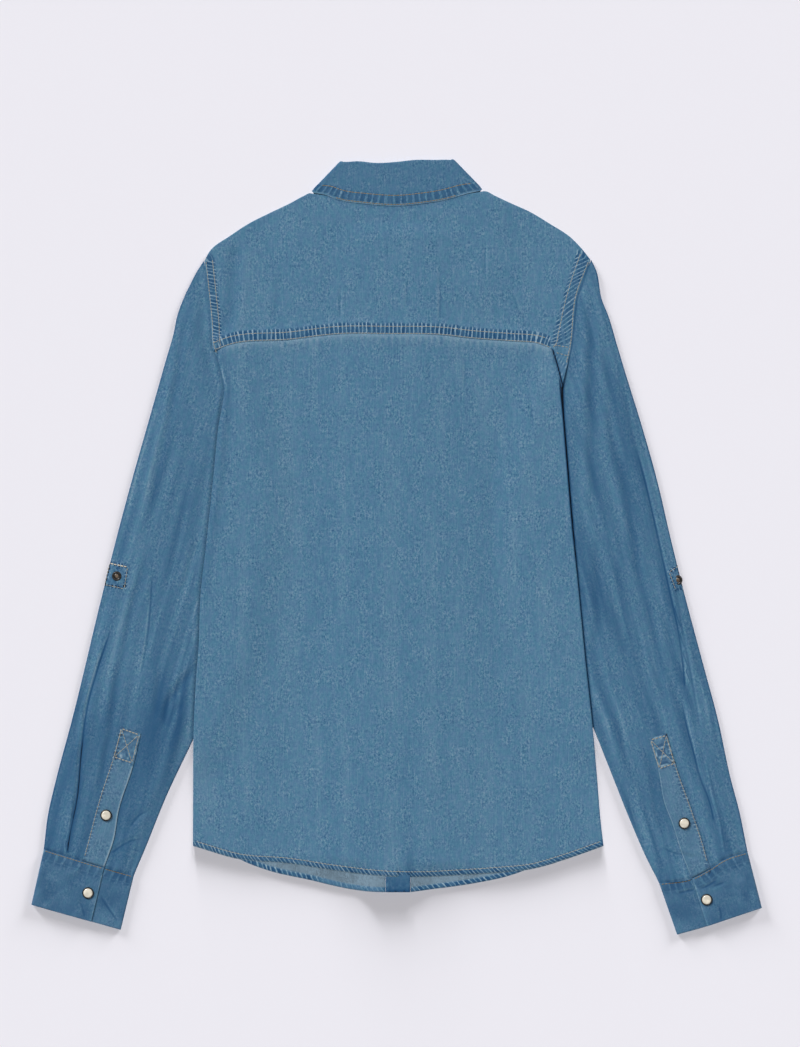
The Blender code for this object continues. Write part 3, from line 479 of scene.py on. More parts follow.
# Creases: how deep, how far to each side, the ridge beside it and on which side, and its line
Crease = namedtuple("Crease", "depth reach ridge side line")
LEFT_CREASES = [
    Crease(1.5, 2.0, 0.7, -1, [
        (-285, -76), (-298, -114), (-311, -161), (-317, -208), (-321, -252), (-329, -291), (-331, -308),
    ]),
    Crease(0.7, 1.7, 0.35, -1, [(-245, -20), (-246, -32), (-249, -76), (-254, -111), (-257, -126)]),
    Crease(0.7, 3.6, 0.55, -1, [
        (-247, 17), (-258, -32), (-267, -70), (-274, -102), (-280, -126), (-283, -149), (-288, -190),
        (-296, -229), (-304, -256),
    ]),
    Crease(0.9, 4.0, 0.55, -1, [
        (-209, 239), (-219, 180), (-227, 139), (-236, 97), (-241, 70), (-245, 44), (-251, 17),
    ]),
    Crease(0.4, 5.0, 0.2, 1, [(-203, 120), (-211, 70), (-219, 20), (-228, -40)]),
    Crease(0.5, 3.0, 0.25, -1, [(-268, 40), (-275, 8), (-284, -28), (-296, -70)]),
    Crease(0.7, 3.5, 0.3, -1, [(-199, 8), (-205, -8), (-211, -28), (-217, -46)]),
    Crease(1.1, 4.0, 0.45, -1, [(-200, -112), (-206, -124), (-217, -138), (-229, -155), (-233, -185)]),
    Crease(0.6, 3.0, 0.3, 1, [(-214, -156), (-222, -164), (-228, -180)]),
    Crease(0.6, 3.5, 0.3, -1, [(-238, -120), (-240, -138), (-243, -173)]),
    Crease(0.5, 2.4, 0.3, -1, [(-252, -292), (-262, -292), (-274, -297), (-288, -307)]),
    Crease(0.5, 2.6, 0.2, 1, [(-246, -262), (-258, -268), (-268, -280)]),
    Crease(0.5, 3.0, 0.3, 1, [(-303, -262), (-308, -282), (-312, -300)]),
    Crease(-0.8, 1.1, 0.1, 1, [
        (-325.5, -256), (-328, -274), (-330.5, -289), (-333, -299), (-332, -304), (-329, -307.5),
    ]),
]
RIGHT_CREASES = [
    Crease(0.9, 1.8, 0.45, 1, [
        (238, 100), (246, 70), (257.5, 21), (268, -27.5), (272.6, -49), (280, -82), (284.7, -115),
        (287, -140),
    ]),
    Crease(0.9, 2.0, 0.4, 1, [(283, -150), (289, -180), (295, -203), (302, -230), (312, -256), (316, -275)]),
    Crease(0.9, 4.2, 0.65, 1, [
        (228, 50), (235, 15), (244, -40), (253, -73), (259, -110), (264, -140), (272, -172),
    ]),
    Crease(0.5, 1.6, 0.3, 1, [(280, -60), (285, -88), (291, -118), (297, -152), (302, -183)]),
    Crease(0.9, 5.0, 0.6, -1, [(190, 278), (193, 228), (192.5, 149), (194, 100), (198, 20)]),
    Crease(0.7, 4.0, 0.5, -1, [(203, 215), (210, 167), (217, 97), (228, 54), (235, 15)]),
    Crease(0.5, 5.0, 0.3, -1, [(200, 20), (200, -40), (199, -79), (197, -114)]),
    Crease(0.4, 6.0, 0.2, 1, [(216, -10), (224, -70), (231, -120)]),
    Crease(0.6, 2.4, 0.3, 1, [(262, -298), (272, -304), (284, -307), (300, -312)]),
    Crease(0.5, 3.0, 0.3, -1, [(246, -200), (254, -230), (258, -262), (266, -290)]),
    Crease(-0.6, 1.3, 0.2, 1, [(306, -208), (313.5, -246), (319.6, -270), (326, -309)]),
]
YOKE_CREASES = [
    Crease(0.4, 1.6, 0.12, 1, [(-58, 261), (-58, 244), (-58, 227)]),
    Crease(0.4, 1.8, 0.12, -1, [(42, 281), (42, 250), (42, 226)]),
    Crease(0.3, 2.0, 0.1, 1, [(87, 305), (87, 288), (87, 270)]),
    Crease(0.3, 2.0, 0.1, 1, [(112, 261), (118, 244), (125, 226)]),
    Crease(0.25, 2.0, 0.1, -1, [(9, 267), (9, 252), (9, 237)]),
    Crease(0.9, 7.0, 0.25, 1, [(-163, 308), (-167, 260), (-172, 205)]),
    Crease(0.25, 4.0, 0.1, -1, [(-118, 278), (-121, 250), (-124, 223)]),
]
BACK_CREASES = [
    Crease(0.3, 2.0, 0.1, 1, [(31, 190), (31, 177), (31, 164)]),
    Crease(0.3, 2.0, 0.1, -1, [(67, 196), (67, 177), (67, 158)]),
    Crease(0.3, 2.5, 0.1, 1, [(132, 149), (134, 134), (135, 120)]),
    Crease(0.5, 5.0, 0.2, -1, [(-176, 186), (-168, 120), (-174, 60), (-182, -10)]),
    Crease(0.3, 9.0, 0.1, 1, [(10, -190), (12, -250), (13, -310)]),
    Crease(0.25, 12.0, 0.1, -1, [(-90, 150), (-80, 0), (-92, -170)]),
    Crease(0.25, 12.0, 0.1, 1, [(96, 120), (88, -30), (104, -200)]),
]
FRONT_CREASES = [
    Crease(0.3, 9.0, 0.1, 1, [(-110, 180), (-96, 40), (-104, -120)]),
    Crease(0.3, 9.0, 0.1, -1, [(104, 170), (92, 20), (100, -140)]),
]

CUFF_CREASES = {
    "left": [
        Crease(0.8, 1.5, 0.25, 1, [(-299, -346), (-290, -360), (-280, -374)]),
        Crease(0.5, 1.8, 0.2, -1, [(-319, -352), (-315, -363), (-313, -372)]),
        Crease(0.3, 3.0, 0.2, 1, [(-333, -334), (-322, -330), (-311, -325)]),
    ],
    "right": [
        Crease(0.9, 1.4, 0.3, 1, [(301, -342), (310, -338), (319, -332.5)]),
        Crease(0.6, 1.3, 0.2, -1, [(312, -341), (319, -338), (328, -334.5)]),
        Crease(0.5, 1.4, 0.2, 1, [(279, -347), (288, -344), (298, -342.5)]),
        Crease(0.6, 1.6, 0.2, -1, [(319.5, -357), (322, -364), (322.5, -374)]),
        Crease(0.8, 1.2, 0.2, 1, [(309, -330), (311.5, -325), (313.5, -319)]),
    ],
}

SLEEVE_CREASES = {"left": LEFT_CREASES, "right": RIGHT_CREASES}

# Seams: the two rows of stitches that hold a band, measured from its edge, the pitch of its
# puckers and how they slant, how far the band stands up and ripples, how dark and how pale it
# is, and how far the puckers run on past it
Seam = namedtuple("Seam", "near far pitch slant lift depth dark pale ticks")
YOKE_SEAM = Seam(2.4, 9.4, 4.2, 0.0, 0.15, 0.28, 1.1, 0.6, 1.4)
BACK_HEM_SEAM = Seam(0.3, 5.4, 4.2, 0.9, 0.25, 0.28, 0.95, 0.55, 0.5)
FRONT_HEM_SEAM = Seam(0.3, 4.6, 5.2, 0.7, 0.3, 0.28, 1.08, 0.5, 0.4)
FALL_SEAM = Seam(1.9, 10.4, 6.8, 0.0, 0.1, 0.22, 0.58, 0.45, 0.5)
ARMHOLE_SEAM = Seam(1.5, 8.0, 3.4, 0.35, 0.3, 0.26, 1.0, 0.5, 0.9)
ARMHOLE_SEAM_RIGHT = ARMHOLE_SEAM._replace(slant=1.6, pitch=5.0, dark=1.05)
CUFF_SEAM = Seam(1.3, 9.0, 8.0, 0.2, 0.1, 0.2, 0.36, 0.25, 1.0)
STRIP_SEAM = Seam(-0.4, 2.4, 4.0, 0.3, 0.05, 0.2, 0.85, 0.4, 0.8)
TAB_SEAM = Seam(-1.8, 1.6, 3.7, 0.2, 0.0, 0.0, 1.2, 0.5, 0.4)
SHARP = 2.6  # creases no wider than this have a sharp dark line
YOKE_SEAM_ENDS = (-181, 153)
YOKE_LAP_EDGE = 1.4  # the yoke's cloth ends this much above its solid's lower edge
SLEEVE_SHADE = {"left": 0.24, "right": 0.34}  # painted shade: how much darker the sleeves are coloured than the body
EDGE_REST = 0.35  # middle of the collar's free edge over the yoke
FOLD_EXTRA = 2.6  # how far the collar's top edge is drawn out beside its side folds
ARMHOLE_CROSSES = [[(155.5, 202), (171, 199.5)], [(157.5, 194.5), (170, 191)]]
ARMHOLE_INNER_RIGHT = [(153, 199), (156.3, 201), (160.6, 215), (165, 236), (170.4, 257), (183, 295)]

# Stitched boxes on the sleeves: corners in turn
TAB_BOX = {
    "left": [(-288.2, -16), (-270.2, -19.8), (-273.6, -41.9), (-293.2, -37.5)],
    "right": [(281, -18.5), (271, -25), (277.5, -42.5), (287, -40.5)],
}
STRIP_LENGTH = 135.0
STRIP_BOX = 33.0  # how far down the strip its crossed box reaches
SLEEVE_TURN = math.radians(15)
SEAM_RISE = 0.55  # how far the cloth climbs towards the yoke's seam
FRONT_INSET = 0.8  # how far the fronts' edges lie inside the back's
# Where the valley beside the body ends on each sleeve, and over what width the sleeve rises from it
VALLEY = {"left": (0.3, 2.6), "right": (1.4, 2.2)}
# The grids across and along each piece: nominal length, coarse step, where else the lines lie
# close together, fine step, and how far that reaches
GRIDS = {
    "back": ((400, 1.4), (520, 4.4, (), 1.3, 9)),
    "yoke": ((380, 1.05), (130, 1.5, (), 1.1, 9)),
    "front": ((195, 2.1, (), 1.6, 4), (620, 6.0, (), 1.3, 9)),
    "band": ((2 * BAND_HALF, 2.4, (), 1.3, 3), (NECK_Y - HEM_Y, 2.6, (), 1.3, 5)),
    "strip": ((21, 1.0, (), 0.8, 2), (140, 1.0, (), 1.0, 3)),
    "sleeve_walls": ((100, 1.7, (), 1.2, 4), (100, 3.4, (), 2.4, 4)),
    "sleeve_length": ((620, 3.0, (325,), 1.5, 12),),
    "fall": ((44, 1.5, (), 1.0, 12),),
    "stand": ((30, 2.2, (), 1.2, 3),),
    "cuff": ((57, 1.9, (), 1.2, 8),),
}
# How many lines the fall and the stand have in each front part, each side fold and the back part
FALL_LINES = (44, 13, 128, 13, 44)
STAND_LINES = (52, 9, 70, 9, 52)
FALL_TURNS = (50, 188)  # the fall's lines at the middle of its side folds
CUFF_STEP = 1.7  # from line to line round a cuff
PRESSED_TURNS = [math.pi * step / 6 for step in range(1, 6)]  # the lines round a pressed edge
SHARP_EDGE = math.radians(50)
NOISE_STEPS = 512
STITCH_BATCH = 40
PANEL_LIP = 0.3  # how far each face of a panel draws in at its border
BAND_LIP = 0.25  # half the thickness of a doubled band at its border
ROW_GROOVE = 0.35  # how far a row of stitches on the underside sinks in


def noise(t, seed):
    """Smooth uneven values from -1 to 1 along a line, the same each time for a seed."""
    table = np.random.default_rng(seed).uniform(-1, 1, NOISE_STEPS)
    low = np.floor(t).astype(int)
    share = smooth(t - low)
    return table[low % NOISE_STEPS] * (1 - share) + table[(low + 1) % NOISE_STEPS] * share


def ripple(s, pitch, seed):
    """An uneven wave of that pitch: 1 on its ridges and -1 in its troughs."""
    turns = s / pitch + 0.3 * noise(s / (2.3 * pitch), seed)
    return np.cos(2 * math.pi * turns) * (0.8 + 0.2 * noise(s / pitch, seed + 1))


def window(d, low, high, soft):
    """One between two distances and zero outside them, with soft ends."""
    return smooth((d - low) / soft + 0.5) * smooth((high - d) / soft + 0.5)


def along(line, x, y, steps=40):
    """How far places lie along a smooth line, how far to its left, and the line's length."""
    points = spline(line, np.linspace(0, 1, steps))
    nearest = np.full(x.shape, np.inf)
    s, d = np.zeros(x.shape), np.zeros(x.shape)
    travelled = 0.0
    for (ax, ay), (bx, by) in zip(points, points[1:]):
        length = math.hypot(bx - ax, by - ay)
        distance, share = to_segment(x, y, ax, ay, bx, by)
        side = np.where((bx - ax) * (y - ay) - (by - ay) * (x - ax) > 0, 1, -1)
        nearer = distance < nearest
        nearest = np.where(nearer, distance, nearest)
        s = np.where(nearer, travelled + share * length, s)
        d = np.where(nearer, side * distance, d)
        travelled += length
    return s, d, travelled


def creased(x, y, creases, seed):
    """Height of soft troughs, each with a ridge beside it, with painted shade in each trough and a painted
    highlight on its ridge.
    """
    height, wear = np.zeros(x.shape), np.zeros(x.shape)
    for number, crease in enumerate(creases):
        s, d, length = along(crease.line, x, y, 20)
        d = d * crease.side + 0.3 * crease.reach * noise(s / 23, seed + number)
        uneven = 0.85 + 0.3 * noise(s / 31, seed + 50 + number)
        fade = smooth(s / length / 0.18) * smooth((1 - s / length) / 0.18) * uneven
        trough = peak(d, crease.reach)
        ridge = peak(d - 1.7 * crease.reach, 1.1 * crease.reach)
        height += fade * (crease.ridge * ridge - crease.depth * trough)
        soft = 0.35 if crease.reach > SHARP else 0.1
        # painted shade in the trough, painted highlight on the ridge
        wear += fade * (0.35 * crease.ridge * ridge - soft * crease.depth * trough)
    return height, wear


def crease_lines(x, y, creases, seed):
    """For the cloth's painted shade and highlight along sharp creases: distance from the nearest sharp
    crease, and how sharp it is.
    """
    fold, sharp = np.full(x.shape, 9.0), np.zeros(x.shape)
    for number, crease in enumerate(creases):
        if crease.reach > SHARP:
            continue
        s, d, length = along(crease.line, x, y, 20)
        fade = smooth(s / min(22, 0.4 * length)) * smooth((length - s) / 5)
        strength = fade * min(crease.depth, 1.2) * (0.85 + 0.25 * noise(s / 19, seed + number))
        better = np.abs(d) < np.abs(fold)
        fold = np.where(better, d * crease.side, fold)
        sharp = np.where(better, strength * (1 - smooth((np.abs(d) - 6) / 3)), sharp)
    return fold, sharp


def sewn(s, d, seam, seed):
    """Height and wear of a puckered band between two rows of stitches."""
    wave = ripple(s + seam.slant * d, seam.pitch, seed)
    gap = smooth((wave - 0.05) / 0.6)
    band = window(d, seam.near, seam.far, 1.0)
    height = band * (seam.lift + seam.depth * wave)
    height -= 0.12 * (peak(d - seam.near, 0.7) + peak(d - seam.far, 0.7))
    patchy = 0.8 + 0.3 * noise(s / (2.6 * seam.pitch), seed + 3)
    wear = band * patchy * (seam.pale * gap - seam.dark * (1 - gap))
    past = np.maximum(d - seam.far, seam.near - d)
    run_on = smooth(past / 0.6) * np.exp(-np.maximum(past, 0) / seam.ticks)
    run_on *= 0.65 + 0.35 * noise(s / seam.pitch, seed + 2)
    height += run_on * seam.depth * wave
    wear += run_on * (1.4 * seam.pale * gap - 0.6 * seam.dark * (1 - gap))
    return height, wear


# Where a seam's puckers are coloured in: its line, the side it lies on, its seam, its seed, how
# strong it is from place to place, and the line of its inner row where that isn't parallel
Puckered = namedtuple("Puckered", "line side seam seed strength inner", defaults=(None,))


def widened(d, x, y, seam, inner):
    """Distance from an edge, stretched so that an inner row that isn't parallel is the far row."""
    across = along(inner, x, y)[1]
    wide = seam.near + (seam.far - seam.near) * (d - seam.near) / np.maximum(d - across - seam.near, 3)
    return np.where(d < seam.near, d, wide)


def seam_look(s, d, seam, seed, strength=1.0):
    """For the cloth's colours: turns of the puckers, how far across the band, and how strong."""
    weight = seam.dark * strength * window(d, seam.near - 2.5, seam.far + 3 * seam.ticks, 1)
    run = s + seam.slant * d
    turns = run / seam.pitch + 0.3 * noise(run / (2.3 * seam.pitch), seed)
    return turns, (d - seam.near) / (seam.far - seam.near), weight


def seam_map(x, y, seams):
    """The looks of whichever seam is strongest at each place."""
    turns, across, pucker = np.zeros(x.shape), np.full(x.shape, 9.0), np.zeros(x.shape)
    for line, side, seam, seed, strength, inner in seams:
        s, d, _ = along(line, x, y, 60 if len(line) > 2 else 2)
        d = side * d
        if inner:
            d = widened(d, x, y, seam, inner)
        look = seam_look(s, d, seam, seed, strength(x, y))
        better = look[2] > pucker
        strongest = zip(look, (turns, across, pucker))
        turns, across, pucker = (np.where(better, new, old) for new, old in strongest)
    return turns, across, pucker


def everywhere(x, y):
    """One at every point."""
    return np.ones(x.shape)


def undulation(x, y, seed):
    """The slight unevenness of cloth that lies slack."""
    a = noise(x / 47 + 0.4 * noise(y / 90, seed), seed + 1) * noise(y / 120, seed + 2)
    b = noise(x / 19 + 0.6 * noise(y / 70, seed + 3), seed + 4) * noise(y / 60, seed + 5)
    return 0.22 * a + 0.1 * b


def streaks(x, y, seed):
    """Faint lighter and darker streaks along the cloth."""
    wide = noise(x / 9 + 0.5 * noise(y / 60, seed), seed + 1) * noise(y / 75 + x / 40, seed + 2)
    return 0.07 * wide


def back_top(x, y):
    """Top of the back, with its creases, its puckered hem and the puckers under the yoke."""
    height, wear = creased(x, y, BACK_CREASES, 10)
    s, d, _ = along(BACK_HEM, x, y)
    hem = sewn(s, d, BACK_HEM_SEAM, 20)
    s, d, _ = along(YOKE_EDGE, x, y)
    below = np.exp(-np.maximum(-d, 0) / 5) * smooth(-d / 1.5)
    ticks = ripple(s, 6.5, 30) * (0.5 + 0.5 * noise(s / 9, 31))
    height += hem[0] + 0.12 * below * ticks + undulation(x, y, 40)
    wear += 0.35 * below * ticks + 0.26 * np.exp(-np.maximum(-d, 0) / 3.5)
    under_seam = smooth((d - 1.2) / 1.2)
    height += SEAM_RISE * (1 - smooth((-d - 1) / 14)) * (1 - under_seam) - 0.45 * under_seam
    beside_sleeve = smooth((y + 80) / 60)
    left = x - edge_x(SIDE_LEFT, y)
    right = edge_x(SIDE_RIGHT, y) - x
    height -= 0.9 * beside_sleeve * peak(left, 3.5)
    # Painted shade in the soft valley where the back's left edge meets the sleeve
    wear -= beside_sleeve * (0.25 * peak(left, 2) + 0.3 * peak(left - 5, 4))
    # Painted shadow: a dark line along the back's right edge, stronger towards the armhole
    wear -= (0.5 + 1.4 * smooth((y + 30) / 60)) * peak(right, 0.8)
    wear += streaks(x, y, 45) - 0.45 * peak(x - 12, 5) * (1 - smooth((y + 320) / 30))
    from_hem = along(BACK_HEM, x, y)[1]
    clear = back_lift(x, y) - front_lift(x, y) - CLOTH - 0.2
    height -= np.maximum(clear, 0) * (1 - smooth(from_hem / 16)) * (1 - smooth((np.abs(x) - 175) / 20))
    height -= 0.72 * (1 - smooth(from_hem / 2.2))
    tail_edge = np.interp(y, [edge[1] for edge in YOKE_TAIL[::-1]], [edge[0] for edge in YOKE_TAIL[::-1]])
    height -= 0.7 * smooth((x - tail_edge + 1.5) / 1.5) * smooth((y - 159) / 3)
    # Painted light along the hem's edge, which lightens the shaded wall of the edge
    wear += 0.55 * peak(from_hem, 0.8)
    corner = smooth((y - 150) / 12) * smooth((194 - y) / 3)
    dashes = 0.5 + 0.5 * ripple(y, 4.2, 47)
    wear += corner * (0.8 * peak(left - 2.4, 1.0) * dashes - 0.6 * peak(left - 0.2, 0.9))
    return back_lift(x, y) + CLOTH + height, wear


def beside_left(x, y):
    """One along the yoke's left armhole, from the yoke's seam to the shoulder."""
    return smooth((y - 200) / 6) * (1 - smooth((y - 291) / 4))


def beside_right(x, y):
    """One along the yoke's right armhole, from the yoke's seam to the shoulder."""
    return smooth((y - 200) / 4) * (1 - smooth((y - 295) / 4))


def yoke_top(x, y):
    """Top of the yoke: its felled lower seam and the bands along the two armholes."""
    height, wear = creased(x, y, YOKE_CREASES, 60)
    s, d, _ = along(YOKE_EDGE, x, y)
    inside = window(x, *YOKE_SEAM_ENDS, 3)
    lower = sewn(s, d, YOKE_SEAM, 70)
    s, d, _ = along(ARMHOLE_LEFT, x, y)
    left = sewn(s, -d, ARMHOLE_SEAM, 80)
    s, d, _ = along(ARMHOLE_RIGHT, x, y)
    right = sewn(s, widened(d, x, y, ARMHOLE_SEAM, ARMHOLE_INNER_RIGHT), ARMHOLE_SEAM, 90)
    over_left, over_right = beside_left(x, y), beside_right(x, y)
    fall_edge = [(rest.x_out, rest.y_out) for rest in FALL_BACK]
    under_collar = smooth((along(fall_edge, x, y)[1] - 0.5) / 2) * smooth((84 - np.abs(x)) / 4)
    height -= 0.4 * under_collar
    # Painted shade on the yoke along the collar's free edge
    wear -= 0.35 * peak(along(fall_edge, x, y)[1], 2.2) * smooth((76 - np.abs(x)) / 4)
    s, d, _ = along(YOKE_EDGE, x, y)
    lapped = 1 - smooth((d - LAP_WIDTH - 1) / LAP_WIDTH)
    height -= 0.55 * LAP_RISE * lapped * inside - 0.25 * (1 - smooth((d - 8) / 26)) * inside
    height += inside * lower[0] + over_left * left[0] + over_right * right[0] + undulation(x, y, 41)
    tail = along(YOKE_TAIL, x, y)[1]
    # Faint streaks, and near-black painted shadow in lines either side of the yoke's tail
    wear += streaks(x, y, 55) - 2.4 * peak(np.abs(tail) - 1.3, 0.85) * smooth((200 - y) / 4)
    # Painted shade in the corner where the yoke's seam ends at the left armhole
    wear -= 1.7 * peak(np.hypot(x + 182.5, y - 195.5), 2.2)
    strokes = ripple(0.87 * x - 0.5 * y, 3.3, 57) * (0.4 + 0.6 * noise((x + y) / 4, 58))
    wear += (0.95 * strokes - 0.2) * smooth((197 - y) / 4) * smooth((x - 150) / 4)
    return yoke_lift(x, y) + CLOTH + height, wear


def front_face(x, y):
    """Top of a front, which is the wrong side of its cloth, with its turned-up hem."""
    height, wear = creased(x, y, FRONT_CREASES, 100)
    hem_line = FRONT_HEM_LEFT + FRONT_HEM_RIGHT
    s, d, _ = along(hem_line, x, y, 60)
    hem = sewn(s, d, FRONT_HEM_SEAM, 110)
    reverse = smooth((d - FRONT_HEM_SEAM.far) / 0.5)
    # Painted shadow where the right front's edge shows past the back near the armhole; the wrong side's
    # paleness is taken out there
    painted_gap_shadow = peak(x - 163.6, 1.4) * window(y, 125, 172, 8)
    return front_lift(x, y) + CLOTH + height + hem[0], wear - 2.3 * painted_gap_shadow, reverse * (1 - smooth(3 * painted_gap_shadow))


def front_underside(x, y):
    """Right side of a front, which faces the surface."""
    height, wear = creased(x, y, FRONT_CREASES, 100)
    s, d, _ = along(FRONT_HEM_LEFT + FRONT_HEM_RIGHT, x, y, 60)
    hem = sewn(s, d, FRONT_HEM_SEAM, 111)
    groove = ROW_GROOVE * peak(d - FRONT_HEM_SEAM.far, 0.9)
    return front_lift(x, y) + np.maximum(np.maximum(height - hem[0], 0), groove), wear, np.zeros(x.shape)


def box_relief(sleeve, x, y):
    """Height and wear of the box sewn where the roll-up tab is held."""
    corners = TAB_BOX[sleeve.name]
    height, wear = np.zeros(x.shape), np.zeros(x.shape)
    for number, ((ax, ay), (bx, by)) in enumerate(zip(corners, corners[1:] + corners[:1])):
        distance, share = to_segment(x, y, ax, ay, bx, by)
        length = math.hypot(bx - ax, by - ay)
        wave = ripple(share * length, 4.2, 150 + number)
        beside_row = peak(distance, 2.6)
        height += 0.16 * wave * beside_row - 0.2 * peak(distance, 0.8)
        wear += 0.3 * wave * beside_row - 0.1 * beside_row
    inside = reach_from(x, y, corners) < 0.01
    height += 0.3 * inside
    return height, wear + inside * (1.2 * noise(x / 2.3, 158) * noise(y / 2.6, 159) - 0.1)


def sleeve_face(sleeve, x, y):
    """Top of a sleeve's upper wall, with its creases and the valley beside the body."""
    height, wear = creased(x, y, SLEEVE_CREASES[sleeve.name], 120 + 10 * sleeve.sign)
    from_outer = sleeve.sign * (edge_x(sleeve.outer, y) - x) * SLEEVE_LEAN
    from_inner = sleeve.sign * (x - edge_x(sleeve.inner, y)) * SLEEVE_LEAN
    from_body = sleeve.sign * (x - edge_x(sleeve.body, y))
    near_tab = 1 - smooth(np.abs(y - sleeve.tab_y) / TAB_REACH)
    gap, rise = VALLEY[sleeve.name]
    beside = 1 - smooth((y - 130) / 60)
    full = smooth(from_outer / (EDGE_RAMP + (TAB_RAMP - EDGE_RAMP) * near_tab))
    full = full * smooth(from_inner / EDGE_RAMP)
    quick = 0.75 * smooth((from_body - gap) / rise) + 0.25 * smooth((from_body - gap) / BODY_RAMP)
    full = full * (quick * beside + smooth((from_body - 1) / BODY_RAMP) * (1 - beside))
    seam = along(sleeve.seam, x, y)
    ticks = np.exp(-np.abs(seam[1]) / 6) * ripple(seam[0], 7.5, 140 + sleeve.sign)
    across = x * math.cos(SLEEVE_TURN) + sleeve.sign * y * math.sin(SLEEVE_TURN)
    down = y * math.cos(SLEEVE_TURN) - sleeve.sign * x * math.sin(SLEEVE_TURN)
    relief = height + 0.22 * ticks + 1.3 * undulation(across, down, 42)
    wear += 3.2 * streaks(across * 1.2, down * 0.7, 65)
    wear += 0.45 * noise(across / 3.6 + 0.6 * noise(down / 45, 66), 67) * noise(down / 52 + across / 30, 68)
    wear += 0.42 * noise(across / 8 + 0.5 * noise(down / 60, 69), 73) * noise(down / 80, 74)
    box = box_relief(sleeve, x, y)
    relief += box[0]
    wear += box[1]
    away = smooth(from_outer / 3) * smooth(from_inner / 3) * smooth((from_body - gap) / 3)
    top = EDGE_FOLD + (SLEEVE_FULL - EDGE_FOLD) * full + relief * away
    tucked = 1 - smooth(np.abs(seam[1]) / 2.5)
    top -= 0.9 * tucked
    # Painted shade where the sleeve goes in under the cuff
    wear = wear * away + 0.25 * ticks - 0.35 * tucked
    if sleeve is LEFT:
        wear -= 0.34 * smooth((-110 - y) / 60)
    # Painted shadow along the body's edge: a near-black line on the right sleeve, and on the left a soft
    # shade in the valley with lighter cloth beyond it
    if sleeve is RIGHT:
        upper = smooth((y - 158) / 8)
        low = 1 - smooth((y + 60) / 80)
        dark = (2.4 - 1.5 * upper - 1.1 * low) * peak(from_body, 1.6 - 0.6 * upper)
    else:
        dark = 0.2 * peak(from_body, 2) - 0.2 * peak(from_body - 5, 2.5)
    # Painted shade also along the sleeve's rolled outer edge
    wear = wear - dark * smooth((from_body + 2) / 2) - 0.75 * (1 - smooth(from_outer / 1.8))
    return np.maximum(top, EDGE_FOLD), wear


def graded(length, coarse, dense=(), fine=1.3, reach=10.0, lip=0.5):
    """Grid lines as shares of a length, close together near both ends and the dense places."""
    marks = np.array([0.0, length, *dense])
    lines = [lip]
    while lines[-1] < length - lip:
        away = np.abs(marks - lines[-1]).min()
        lines.append(lines[-1] + fine + (coarse - fine) * float(smooth((away - reach) / (2 * reach))))
    lines = lip + (np.array(lines) - lip) * (length - 2 * lip) / (lines[-1] - lip)
    return np.concatenate([[0], lines, [length]]) / length


def placed(name, data):
    """A new object in the scene."""
    thing = bpy.data.objects.new(name, data)
    bpy.context.scene.collection.objects.link(thing)
    return thing


def grids(piece):
    """The grid lines of a piece, each way."""
    return [graded(*way) for way in GRIDS[piece]]


def finish(name, work, material, grain=0.0):
    """Turns a bmesh into a named piece, with a map that runs along the cloth's grain, in metres."""
    bmesh.ops.recalc_face_normals(work, faces=work.faces[:])
    if work.calc_volume(signed=True) < 0:
        bmesh.ops.reverse_faces(work, faces=work.faces[:])
    mesh = bpy.data.meshes.new(name)
    work.to_mesh(mesh)
    work.free()
    mesh.materials.append(material)
    mesh.shade_smooth()
    mesh.set_sharp_from_angle(angle=SHARP_EDGE)
    places = np.empty(len(mesh.vertices) * 3)
    mesh.vertices.foreach_get("co", places)
    places = places.reshape(-1, 3)
    corners = np.empty(len(mesh.loops), int)
    mesh.loops.foreach_get("vertex_index", corners)
    cos, sin = math.cos(grain), math.sin(grain)
    turned = places[:, :2] @ np.array([[cos, sin], [-sin, cos]])
    mesh.uv_layers.new(name="grain").data.foreach_set("uv", turned[corners].ravel())
    piece = placed(name, mesh)
    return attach(piece, "root")


# What a surface tells the cloth's colours: how abraded it is and the shade and highlights painted on it,
# whether its wrong side shows, and its puckers
LOOKS = ("wear", "reverse", "turns", "across", "pucker", "fold", "sharp")


def shell(name, columns, rows, outer, inner, grain=0.0, tube=False):
    """A thin shell of cloth between two bent grids: outer and inner give places and looks."""
    work = bmesh.new()
    layers = work.verts.layers.float
    for key in ("u", "v", *LOOKS):
        layers.new(key)
    u_of, v_of, *look_layers = (layers[key] for key in ("u", "v", *LOOKS))
    last_column, last_row = len(columns) - 1, len(rows) - 1
    bmesh.ops.create_grid(work, x_segments=last_column, y_segments=last_row, size=0.5)
    for vert in work.verts:
        vert[u_of] = columns[round((vert.co.x + 0.5) * last_column)]
        vert[v_of] = rows[round((vert.co.y + 0.5) * last_row)]
        if tube:
            turn = (vert.co.x + 0.5) * 2 * math.pi
            vert.co = (math.cos(turn), math.sin(turn), vert.co.y)
    if tube:
        bmesh.ops.remove_doubles(work, verts=work.verts[:], dist=1e-5)
    outside = list(work.verts)
    bmesh.ops.extrude_face_region(work, geom=work.faces[:], use_keep_orig=True)
    kept = set(outside)
    inside = [vert for vert in work.verts if vert not in kept]
    for verts, shape in ((outside, outer), (inside, inner)):
        u = np.array([vert[u_of] for vert in verts])
        v = np.array([vert[v_of] for vert in verts])
        places, *looks = shape(u, v)
        for vert, place in zip(verts, places * MM):
            vert.co = place
        for layer, values in zip(look_layers, looks):
            for vert, value in zip(verts, values):
                vert[layer] = value
    for key in ("u", "v"):
        layers.remove(layers[key])
    return finish(name, work, bpy.data.materials["denim_cloth"], grain)


def at_edge(u, v):
    """Whether places lie on the border of a piece's grid."""
    return (u < 1e-9) | (u > 1 - 1e-9) | (v < 1e-9) | (v > 1 - 1e-9)


